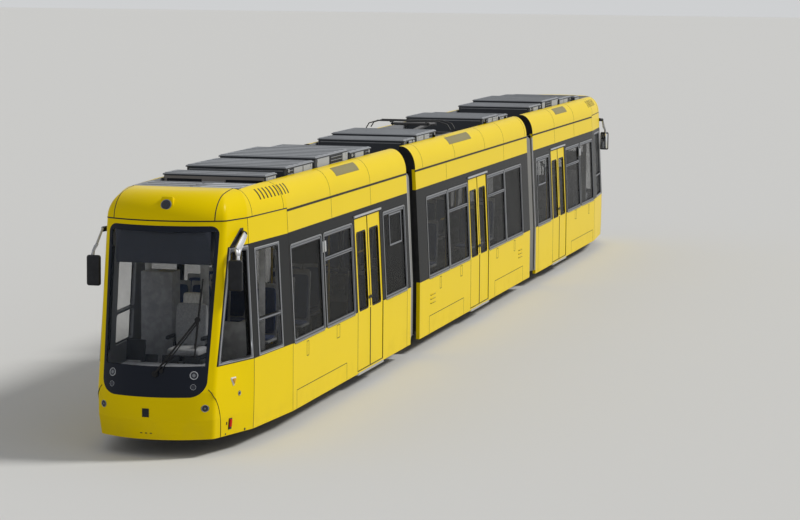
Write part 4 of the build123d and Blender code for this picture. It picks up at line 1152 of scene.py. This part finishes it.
# Pieces of plain boxes in the cab: finish, bevel, its segments, crown of a pad, and the boxes
CAB_BOXES = (
    ("desk", "cab_grey", 0.03, 4, 0,
     ((0.46, 1.0, -0.62, 0.62, 0.73, 1.02), (0.55, 0.86, -0.60, 0.60, 1.02, 1.12),
      (0.62, 0.98, 0.44, 0.62, 1.0, 1.125), (0.62, 0.98, -0.62, -0.44, 1.0, 1.125))),
    ("desk_screens", "dark_plastic", 0.006, 2, 0,
     ((0.86, 0.89, -0.42, -0.18, 1.06, 1.22, (0, 0.35, 0)),
      (0.86, 0.89, -0.12, 0.12, 1.06, 1.22, (0, 0.35, 0)),
      (0.86, 0.89, 0.18, 0.42, 1.06, 1.22, (0, 0.35, 0)),
      (0.80, 0.85, 0.34, 0.60, 1.14, 1.42, (0, 0.2, 0)))),
    ("partition", "pale_lining", 0.006, 2, 0,
     ((2.30, 2.335, -0.87, 0.87, 0.73, 1.5), (2.30, 2.335, -0.87, 0.87, 2.6, 3.04),
      (2.30, 2.335, -0.87, -0.78, 1.5, 2.6), (2.30, 2.335, -0.06, 0.06, 1.5, 2.6),
      (2.30, 2.335, 0.78, 0.87, 1.5, 2.6))),
    ("cab_locker", "cab_grey", 0.008, 2, 0,
     ((1.95, 2.29, 0.35, 0.80, 0.73, 2.2), (1.943, 1.951, 0.37, 0.78, 0.78, 2.15))),
    ("destination_box", "blank_display", 0.01, 2, 0, ((0.58, 0.90, -0.66, 0.66, 2.48, 2.93),)),
    ("driver_seat_base", "dark_plastic", 0.02, 3, 0,
     ((1.36, 1.80, -0.22, 0.22, 1.07, 1.13), (1.80, 1.84, -0.20, 0.20, 1.10, 1.80),
      (1.45, 1.78, -0.28, -0.22, 1.34, 1.39), (1.74, 1.80, -0.27, -0.23, 1.12, 1.36),
      (1.45, 1.78, 0.22, 0.28, 1.34, 1.39), (1.74, 1.80, 0.23, 0.27, 1.12, 1.36))),
    ("driver_seat_pads", "driver_seat_cloth", 0, 0, 0.035,
     ((1.33, 1.80, -0.24, 0.24, 1.12, 1.25),
      (1.70, 1.82, -0.23, 0.23, 1.22, 1.82, (0, 0.10, 0)))),
    ("driver_headrest", "headrest_cloth", 0, 0, 0.03,
     ((1.76, 1.86, -0.14, 0.14, 1.76, 1.96, (0, 0.10, 0)),)),
)

# Rods among them: two ends, radius and sides
CAB_RODS = {
    "desk_screens": ((0.95, 0.34, 1.01), (0.97, 0.34, 1.12), 0.012, 12),
    "driver_seat_base": ((1.58, 0, 0.73), (1.58, 0, 1.08), 0.06, 20),
}


class TRAM_OT_cab_inside(bpy.types.Operator):
    """Driver's desk, seat with its pads, partition and blank destination display"""
    bl_idname = "tram.cab_inside"
    bl_label = "Cab inside"

    def execute(self, context):
        for name, finish, bevel, segments, crown, boxes in CAB_BOXES:
            with piece("front", name, finish, bevel, segments, crown, mirrored=False,
                       fill=0.8 if crown else None,
                       stands_for="cab_interior" if name == "desk" else None):
                for box in boxes:
                    add_box(*box)
                if name in CAB_RODS:
                    a, b, radius, sides = CAB_RODS[name]
                    add_rod(from_nose(*a), from_nose(*b), radius, sides)
        return {"FINISHED"}


class TRAM_OT_mirrors(bpy.types.Operator):
    """Outside mirrors: cast arms, rounded housings and mirror faces"""
    bl_idname = "tram.mirrors"
    bl_label = "Mirrors"

    def execute(self, context):
        path = [from_nose(*point) for point in (
            (0.99, -1.0, 2.862), (0.72, -0.985, 2.68), (0.665, -1.005, 2.60),
            (0.645, -1.012, 2.548))]
        with piece("front", "mirror_arms", "cast_aluminium", 0.004) as arm:
            for a, b, start, end in zip(path[:-1], path[1:], (0.07, 0.095, 0.034),
                                        (0.095, 0.05, 0.055)):
                self.arm_part(arm, a, b, start, end)
        with piece("front", "mirror_hinges", "dark_plastic", 0.008):
            add_rod(from_nose(1.07, -0.93, 2.875), from_nose(0.985, -1.0, 2.865), 0.036, 14)
        with piece("front", "mirror_heads", "dark_plastic", 0.034, 5, stands_for="mirrors"):
            add_box(0.5835, 0.6565, -1.083, -0.888, 2.147, 2.558)
        with piece("front", "mirror_faces", "mirror_face", 0.001):
            add_box(0.654, 0.6575, -1.066, -0.906, 2.18, 2.525)
        slope = Vector((-0.62, 0, 0.78)).normalized()
        pockets = skin_patch(
            nodes["front_cab_shell"],
            belt(2.712, 2.935) + [(from_nose(0.775, 0, 2.712), slope)]
            + ahead_of(1.13), 0.0025, outside)
        place(pockets, "front", "mirror_pockets", "black_rubber")
        return {"FINISHED"}

    def arm_part(self, arm, a, b, start, end):
        """A flat bar that changes its width from one place to the next, with three ribs."""
        line = (b - a).normalized()
        across = Vector((-0.7, -0.7, 0)).cross(line).normalized()
        ahead = line.cross(across)
        reach = (b - a).length
        bpy.ops.mesh.primitive_cube_add(
            size=1, location=(a + b) / 2, scale=(start, 0.024, reach + 0.014),
            rotation=Matrix((across, ahead, line)).transposed().to_euler())
        choose(arm, lambda v: (v - b).dot(line) > -0.5 * reach)
        bpy.ops.transform.resize(value=(end / start,) * 3, center_override=b)
        put_away()
        for side in (-0.4, 0.0, 0.4):
            add_rod(a + across * start * side + ahead * 0.012,
                    b + across * end * side + ahead * 0.014, 0.005, 8)


class TRAM_OT_saloon(bpy.types.Operator):
    """Passenger seats with their pads, and the poles by the doors"""
    bl_idname = "tram.saloon"
    bl_label = "Saloon"

    def execute(self, context):
        for where, rows, door in (("front", END_ROWS, END_DOOR), ("middle", MID_ROWS, MID_DOOR)):
            places = [(x, y, floor) for x, floor in rows for y in SEAT_Y]
            with piece(where, "seat_shells", "seat_shell", 0.015, mirrored=False,
                       stands_for="seats"):
                for x, y, floor in places:
                    self.shell(x, y, floor + 0.37, floor)
            with piece(where, "seat_pads", "seat_cloth", crown=0.02, mirrored=False, fill=0.7):
                for x, y, floor in places:
                    self.pads(x, y, floor + 0.40)
            with piece(where, "poles", "grab_pole", mirrored=False):
                for side in (-1, 1):
                    for y in (-POLE_Y, POLE_Y):
                        x = door + side * (DOOR_HALF + 0.06)
                        add_rod(from_nose(x, y, 0.352), from_nose(x, y, 3.048), POLE_RADIUS,
                                14)
                        add_rod(from_nose(x, y, 1.9), from_nose(x + side * 0.4, y, 1.9), 0.014,
                                10)
        return {"FINISHED"}

    def shell(self, x, y, z, floor):
        add_box(x, x + 0.43, y - 0.165, y + 0.165, z, z + 0.035)
        add_box(x + 0.435, x + 0.465, y - 0.165, y + 0.165, z, z + 0.80, (0, RECLINE, 0))
        add_box(x + 0.185, x + 0.245, y - 0.05, y + 0.05, floor + 0.002, z + 0.01)

    def pads(self, x, y, z):
        add_box(x + 0.015, x + 0.41, y - 0.15, y + 0.15, z, z + 0.055)
        add_box(x + 0.395, x + 0.445, y - 0.145, y + 0.145, z + 0.06, z + 0.72, (0, RECLINE, 0))


class TRAM_OT_gangway_ends(bpy.types.Operator):
    """Dark end faces of the sections and the frames that the bellows hang on"""
    bl_idname = "tram.gangway_ends"
    bl_label = "Gangway ends"

    def execute(self, context):
        def back(centre, normal):
            return normal.x > 0.9 and abs(centre.x - END_BACK) < 0.01

        def either(centre, normal):
            return abs(normal.x) > 0.9 and abs(abs(centre.x) + MID_FRONT) < 0.01

        for where, name, keep in (("front", "end_faces", back),
                                  ("middle", "middle_end_faces", either)):
            faces = [skin_patch(nodes[where + node], [], 0.0015, keep)
                     for node in ("_roof", "_window_band")]
            place(join(faces, name), where, name, "black_rubber")
        for where, x0, x1, deep, finish in (
                ("front", 9.553, 9.553 + 0.035, 0.003, "cast_aluminium"),
                ("middle", 10.167 - 0.04, 10.167, 0.09, "black_rubber")):
            with piece(where, "bellows_frame", finish, 0.003):
                for z0, z1 in ((0.30, 1.165), (1.17, 2.98)):
                    add_wall_block(x0, x1, z0, z1, -0.027 - deep, -deep)
                add_box(x0, x1, -1.023 + deep, 1.023 - deep, 2.98, 3.02)
        return {"FINISHED"}


class TRAM_OT_bellows(bpy.types.Operator):
    """Folded cloth of the two gangways"""
    bl_idname = "tram.bellows"
    bl_label = "Gangway bellows"

    def execute(self, context):
        obj = self.fold(context.scene.tram_trim.bellows_folds)
        rear = turned_copy(obj, "rear_bellows_cloth")
        for cloth, sign, where in ((obj, 1, "front"), (rear, -1, "rear")):
            cloth.data.materials.clear()
            cloth.data.materials.append(materials["bellows_cloth"])
            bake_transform(cloth)
            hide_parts(where + "_bellows")
        return {"FINISHED"}

    def fold(self, folds):
        """An arch drawn along the track in steps that narrow and widen."""
        low, top = RAIL + 0.292, RAIL + 3.018
        half, narrow, taper = 1.118, 0.972, 0.93 ** (0.5 / folds)
        obj = open_piece("front_bellows_cloth")
        x0 = END_BACK + 0.002
        middle = (x0, 0, (low + top) / 2)
        bpy.ops.mesh.primitive_plane_add(size=1, location=middle, rotation=(0, math.pi / 2, 0))
        bpy.ops.transform.resize(value=(1, 2 * half, top - low), center_override=middle)
        bpy.ops.mesh.bisect(plane_co=(0, 0, SILL), plane_no=(0, 0, 1))
        choose(obj, lambda v: v.z > top - 0.01)
        bpy.ops.transform.resize(value=(1, (half - 0.098) / half, 1), center_override=(x0, 0, top))
        bpy.ops.mesh.bevel(offset=0.11, segments=5, affect="VERTICES")
        bpy.ops.mesh.select_all(action="SELECT")
        bpy.ops.mesh.delete(type="ONLY_FACE")
        for height in (SILL, low):
            choose(obj, lambda v: abs(v.z - height) < 0.001)
            bpy.ops.mesh.select_mode(type="EDGE")
            bpy.ops.mesh.delete(type="EDGE")
            bpy.ops.mesh.select_mode(type="VERT")
        bpy.ops.mesh.select_all(action="SELECT")
        step = (MID_FRONT - END_BACK - 0.004) / (2 * folds)
        for k in range(2 * folds):
            bpy.ops.mesh.extrude_region_move(TRANSFORM_OT_translate={"value": (step, 0, 0)})
            factor = 1 / narrow if k % 2 else narrow
            bpy.ops.transform.resize(value=(1, factor * taper, 1 + (factor - 1) * 0.5),
                                     center_override=(x0 + (k + 1) * step, 0, low))
        bpy.ops.object.mode_set(mode="OBJECT")
        add_modifier(obj, "SOLIDIFY", thickness=0.006, offset=-1)
        add_modifier(obj, "BEVEL", width=0.004, segments=2, limit_method="ANGLE", angle_limit=0.5)
        pick(obj)
        bpy.ops.object.shade_smooth_by_angle(angle=0.9)
        return obj


# Sheet panels and slatted recesses on the sides of the roof cases, the recesses drawn as dark
# plates of painted shade: two x and a case height
CASE_PANELS = {
    "front": ((2.76, 3.22, 0.32), (4.12, 4.56, 0.36), (4.60, 5.06, 0.36), (5.33, 5.98, 0.40),
              (6.74, 7.03, 0.40), (7.48, 7.98, 0.35)),
    "middle": ((10.62, 10.94, 0.32), (11.50, 12.05, 0.36), (12.62, 12.86, 0.36),
               (17.20, 17.62, 0.36), (18.45, 18.96, 0.32), (16.75, 16.98, 0.36)),
}
CASE_RECESSES = {
    "front": ((3.76, 4.08, 0.36), (6.04, 6.70, 0.40), (7.20, 7.44, 0.35), (8.04, 8.38, 0.35)),
    "middle": ((10.98, 11.32, 0.32), (12.10, 12.58, 0.36), (17.66, 18.04, 0.36),
               (18.22, 18.41, 0.32)),
}

# Pipes across the gaps between roof cases: y, height over the rail and radius
PIPES = ((-0.62, 3.24, 0.018), (-0.55, 3.24, 0.018), (-0.30, 3.27, 0.028), (0.12, 3.26, 0.022),
         (0.40, 3.24, 0.018), (0.60, 3.28, 0.028))
LOW_PIPES = (-0.60, -0.50, -0.38, 0.30, 0.44, 0.58)


class TRAM_OT_roof_equipment(bpy.types.Operator):
    """Lids, grilles, ribs, pipes, louvres and plates on the roof"""
    bl_idname = "tram.roof_equipment"
    bl_label = "Roof equipment"

    def execute(self, context):
        for where, cases in CASES.items():
            self.ribs(where, cases)
            self.sides(where, cases)
            if where == "front":
                self.cab_end_units()
            self.pipes(where, cases)
        self.covers()
        self.insulators()
        return {"FINISHED"}

    def ribs(self, where, cases):
        """Raised edges and cross ribs on the lids."""
        with piece(where, "roof_ribs", "roof_lid", ROOF_EDGE, 1, mirrored=False):
            for start, end, outer, height in cases:
                heights = 3.18 + height - 0.002, 3.18 + height + 0.009
                count = max(2, round((end - start) / 0.28))
                for k in range(count + 1):
                    x = start + 0.03 + (end - start - 0.06) * k / count
                    add_box(x - 0.012, x + 0.012, 0.03 - outer, outer - 0.03, *heights)
                for y in (0.02 - outer, outer - 0.02):
                    add_box(start + 0.02, end - 0.02, y - 0.012, y + 0.012, *heights)

    def sides(self, where, cases):
        """Sheet panels, slats on dark plates that are painted shade of the recesses behind them,
        latches and the fronts of the cases.
        """
        with piece(where, "roof_panels", "roof_panel", ROOF_EDGE, 1):
            for x0, x1, high in CASE_PANELS[where]:
                add_box(x0, x1, -CASE_SIDE - 0.005, -CASE_SIDE + 0.004, 3.192, 3.148 + high)
                for x in (x0 + 0.03, x1 - 0.03):
                    add_box(x - 0.012, x + 0.012, -CASE_SIDE - 0.011, -CASE_SIDE,
                            3.21 + high / 2, 3.24 + high / 2)
        # Dark plates under the slats, painted shade of the recesses
        with piece(where, "roof_recess_painted_shade", "slots_and_painted_shade", 0.002, 1):
            for x0, x1, high in CASE_RECESSES[where]:
                add_box(x0, x1, -0.745, -0.735, 3.2, 3.145 + high)
        with piece(where, "roof_slats", "roof_lid"):
            for x0, x1, high in CASE_RECESSES[where]:
                rows = max(3, round((high - 0.06) / 0.05))
                for k in range(rows):
                    z = 3.23 + (high - 0.11) * k / (rows - 1)
                    add_box(x0 + 0.025, x1 - 0.025, -0.755, -0.741, z - 0.003, z + 0.003,
                            (-0.6, 0, 0))
        with piece(where, "roof_fronts", "roof_lid", ROOF_EDGE, 1, mirrored=False):
            for start, end, _, height in cases:
                for x0, x1 in ((start - 0.006, start), (end, end + 0.006)):
                    add_box(x0, x1, -0.70, 0.70, 3.19, 3.215)
                    add_box(x0, x1, -0.70, 0.70, 3.12 + height, 3.135 + height)
        with piece(where, "roof_latches", "bare_aluminium", ROOF_EDGE, 1):
            for start, end, outer, height in cases:
                for x in (start + 0.12, end - 0.12):
                    add_box(x - 0.018, x + 0.018, -outer - 0.016, -outer, 3.10 + height,
                            3.148 + height)

    def cab_end_units(self):
        """The pale cover, a dark strip along its front that is painted shade of the cover's front
        edge, and the front plate of the case behind it.
        """
        for name, x0, x1, finish in (("cover_edge_painted_shade", 1.47, 1.60, "slots_and_painted_shade"),
                                     ("pale_lid", 1.60, 2.345, "pale_roof_lid")):
            lid = skin_patch(nodes["front_roof_units"],
                             stretch(x0, x1) + between(1, -0.765, -0.15), 0.001,
                             lambda c, n: n.z > 0.5)
            place(lid, "front", name, finish)
        start = CASES["front"][1][0]
        for name, finish, deep, boxes in (
                ("case_plate", "roof_case_front", 0.010, ((-0.725, 0.725, 3.20, 3.468),)),
                ("case_slots", "slots_and_painted_shade", 0.013, ((0.18, 0.69, 3.387, 3.43),
                                                      (-0.71, -0.17, 3.387, 3.43))),
                ("case_box", "roof_panel", 0.045, ((-0.15, 0.165, 3.25, 3.40),))):
            with piece("front", name, finish, ROOF_EDGE, 1, mirrored=False):
                for box in boxes:
                    add_box(start - deep, start - 0.001, *box)

    def pipes(self, where, cases):
        """Pipes from case to case, and low ones from the last case to the gangway."""
        with piece(where, "roof_pipes", "dark_plastic", mirrored=False):
            for before, after in zip(cases[:-1], cases[1:]):
                if after[0] - before[1] > 1.5:
                    continue
                for y, z, radius in PIPES:
                    add_rod(from_nose(before[1] - 0.02, y, z), from_nose(after[0] + 0.02, y, z),
                            radius, 8)
            start, end = (8.42, 9.5) if where == "front" else (10.2, 10.59)
            for y in LOW_PIPES:
                add_rod(from_nose(start, y, 3.215), from_nose(end, y, 3.215), 0.022, 8)

    def covers(self):
        """Louvre slots and dull plates let into the fairings beside the cases."""
        def fairing(centre, normal):
            return normal.z > -0.2 and abs(centre.y) > FAIRING and outside(centre, normal)

        roof = nodes["front_roof"]
        band = skin_patch(roof, belt(3.25, 3.385) + stretch(1.80, 3.02), 0, fairing)
        slots = [skin_patch(band, strip_at(1.85 + 0.138 * k, 0.022), 0.0015,
                            lambda c, n: True) for k in range(9)]
        bpy.data.objects.remove(band)
        place(join(slots, "louvres"), "front", "louvres", "black_rubber")
        for where, node, name, x0, x1 in (
                ("front", roof, "fairing_plates", 5.5, 6.8),
                ("middle", nodes["middle_roof"], "middle_fairing_plates", 12.9, 14.65)):
            plate = skin_patch(node, belt(3.29, 3.405) + stretch(x0, x1), 0.002, fairing)
            place(join([plate], name), where, name, "roof_plate")

    def insulators(self):
        """Brown sheds and cores of the four insulators under the pantograph."""
        with piece("middle", "pantograph_insulators", "brown_insulator", 0.002, mirrored=False,
                   prefix=False):
            for x in (-0.94, 0.84):
                for y in (-0.38, 0.38):
                    add_disc((x, y, DECK + 0.055), (0, 0, 1), 0.0385, 0.106, 24)
                    for rise in (0.025, 0.055, 0.085):
                        add_disc((x, y, DECK + rise), (0, 0, 1), 0.0607, 0.0112, 28)


class TRAM_OT_stage(bpy.types.Operator):
    """Pale floor, soft light and the camera at the photograph's angle"""
    bl_idname = "tram.stage"
    bl_label = "Stage"

    def execute(self, context):
        stage = context.scene.tram_stage
        pick()
        bpy.ops.mesh.primitive_plane_add(size=FLOOR_SIZE, location=(0, 0, 0))
        floor = context.object
        floor.name = "studio_floor"
        tree, shader = new_material("studio_floor", tuple(stage.floor), 0.85)
        drive(tree, shader, roughness=noise(tree, 3.0) * 0.03 + 0.83)
        floor.data.materials.append(materials["studio_floor"])
        self.sky(stage.sky_power)

        bpy.ops.object.light_add(type="SUN", location=(0, -20, 20))
        sun = context.object
        sun.name = "soft_sun"
        sun.data.energy = stage.key_power
        sun.data.angle = SUN_SPREAD
        sun.data.color = (1.0, 0.985, 0.95)
        sun.rotation_euler = Vector(SUN_FROM).to_track_quat("Z", "Y").to_euler()

        yaw, pitch, roll = CAMERA_TURN
        ahead = Vector((math.cos(yaw) * math.cos(pitch), math.sin(yaw) * math.cos(pitch),
                        -math.sin(pitch)))
        right = ahead.cross(Vector((0, 0, 1))).normalized()
        up = right.cross(ahead)
        across = right * math.cos(roll) + up * math.sin(roll)
        upward = up * math.cos(roll) - right * math.sin(roll)
        bpy.ops.object.camera_add(
            location=from_nose(*CAMERA_PLACE),
            rotation=Matrix((across, upward, -ahead)).transposed().to_euler())
        camera = context.object
        camera.name = "photo_camera"
        camera.data.lens = stage.focal_length
        camera.data.sensor_width = SENSOR_WIDTH
        camera.data.clip_end = VIEW_DEPTH
        context.scene.camera = camera
        context.scene.view_settings.view_transform = "Standard"
        return {"FINISHED"}

    def sky(self, power):
        """Even light from all round, with a paler backdrop where the camera sees it."""
        world = bpy.context.scene.world = bpy.data.worlds.new("studio")
        world.use_nodes = True
        tree = world.node_tree
        light = tree.nodes["Background"]
        light.inputs["Color"].default_value = (0.97, 0.98, 1.0, 1)
        light.inputs["Strength"].default_value = power
        pale = tree.nodes.new("ShaderNodeBackground")
        pale.inputs["Color"].default_value = (0.62, 0.63, 0.64, 1)
        path = tree.nodes.new("ShaderNodeLightPath").outputs
        seen = path["Is Camera Ray"]
        for ray in ("Is Glossy Ray", "Is Transmission Ray"):
            seen = calc(tree, "MAXIMUM", seen, path[ray])
        blend = tree.nodes.new("ShaderNodeMixShader")
        for socket, value in zip(blend.inputs, (seen, light.outputs[0], pale.outputs[0])):
            feed(tree, socket, value)
        tree.links.new(blend.outputs[0], tree.nodes["World Output"].inputs["Surface"])


OPERATORS = (TRAM_OT_finishes, TRAM_OT_window_frames, TRAM_OT_door_trim, TRAM_OT_panel_joints,
             TRAM_OT_cab_windows, TRAM_OT_cab_front, TRAM_OT_cab_inside, TRAM_OT_mirrors,
             TRAM_OT_saloon, TRAM_OT_gangway_ends, TRAM_OT_bellows, TRAM_OT_roof_equipment,
             TRAM_OT_stage)


class TRAM_PT_sidebar(bpy.types.Panel):
    """Lists the tram's sizes, colours and pieces"""
    bl_idname = "TRAM_PT_sidebar"
    bl_label = "Articulated tram"
    bl_space_type = "VIEW_3D"
    bl_region_type = "UI"
    bl_category = "Tram"

    def draw(self, context):
        scene = context.scene
        for group in (scene.tram_paint, scene.tram_trim, scene.tram_stage):
            box = self.layout.box()
            for name in group.__annotations__:
                box.prop(group, name)
        for operator in OPERATORS:
            self.layout.operator(operator.bl_idname)


CLASSES = (TramPaint, TramTrim, TramStage) + OPERATORS + (TRAM_PT_sidebar,)


def register():
    for cls in CLASSES:
        bpy.utils.register_class(cls)
    bpy.types.Scene.tram_paint = bpy.props.PointerProperty(type=TramPaint)
    bpy.types.Scene.tram_trim = bpy.props.PointerProperty(type=TramTrim)
    bpy.types.Scene.tram_stage = bpy.props.PointerProperty(type=TramStage)


def unregister():
    del bpy.types.Scene.tram_paint, bpy.types.Scene.tram_trim, bpy.types.Scene.tram_stage
    for cls in reversed(CLASSES):
        bpy.utils.unregister_class(cls)


def main():
    register()
    for operator in OPERATORS:
        group, name = operator.bl_idname.split(".")
        getattr(getattr(bpy.ops, group), name)()
    leave_edit()


if __name__ == "__main__":
    main()
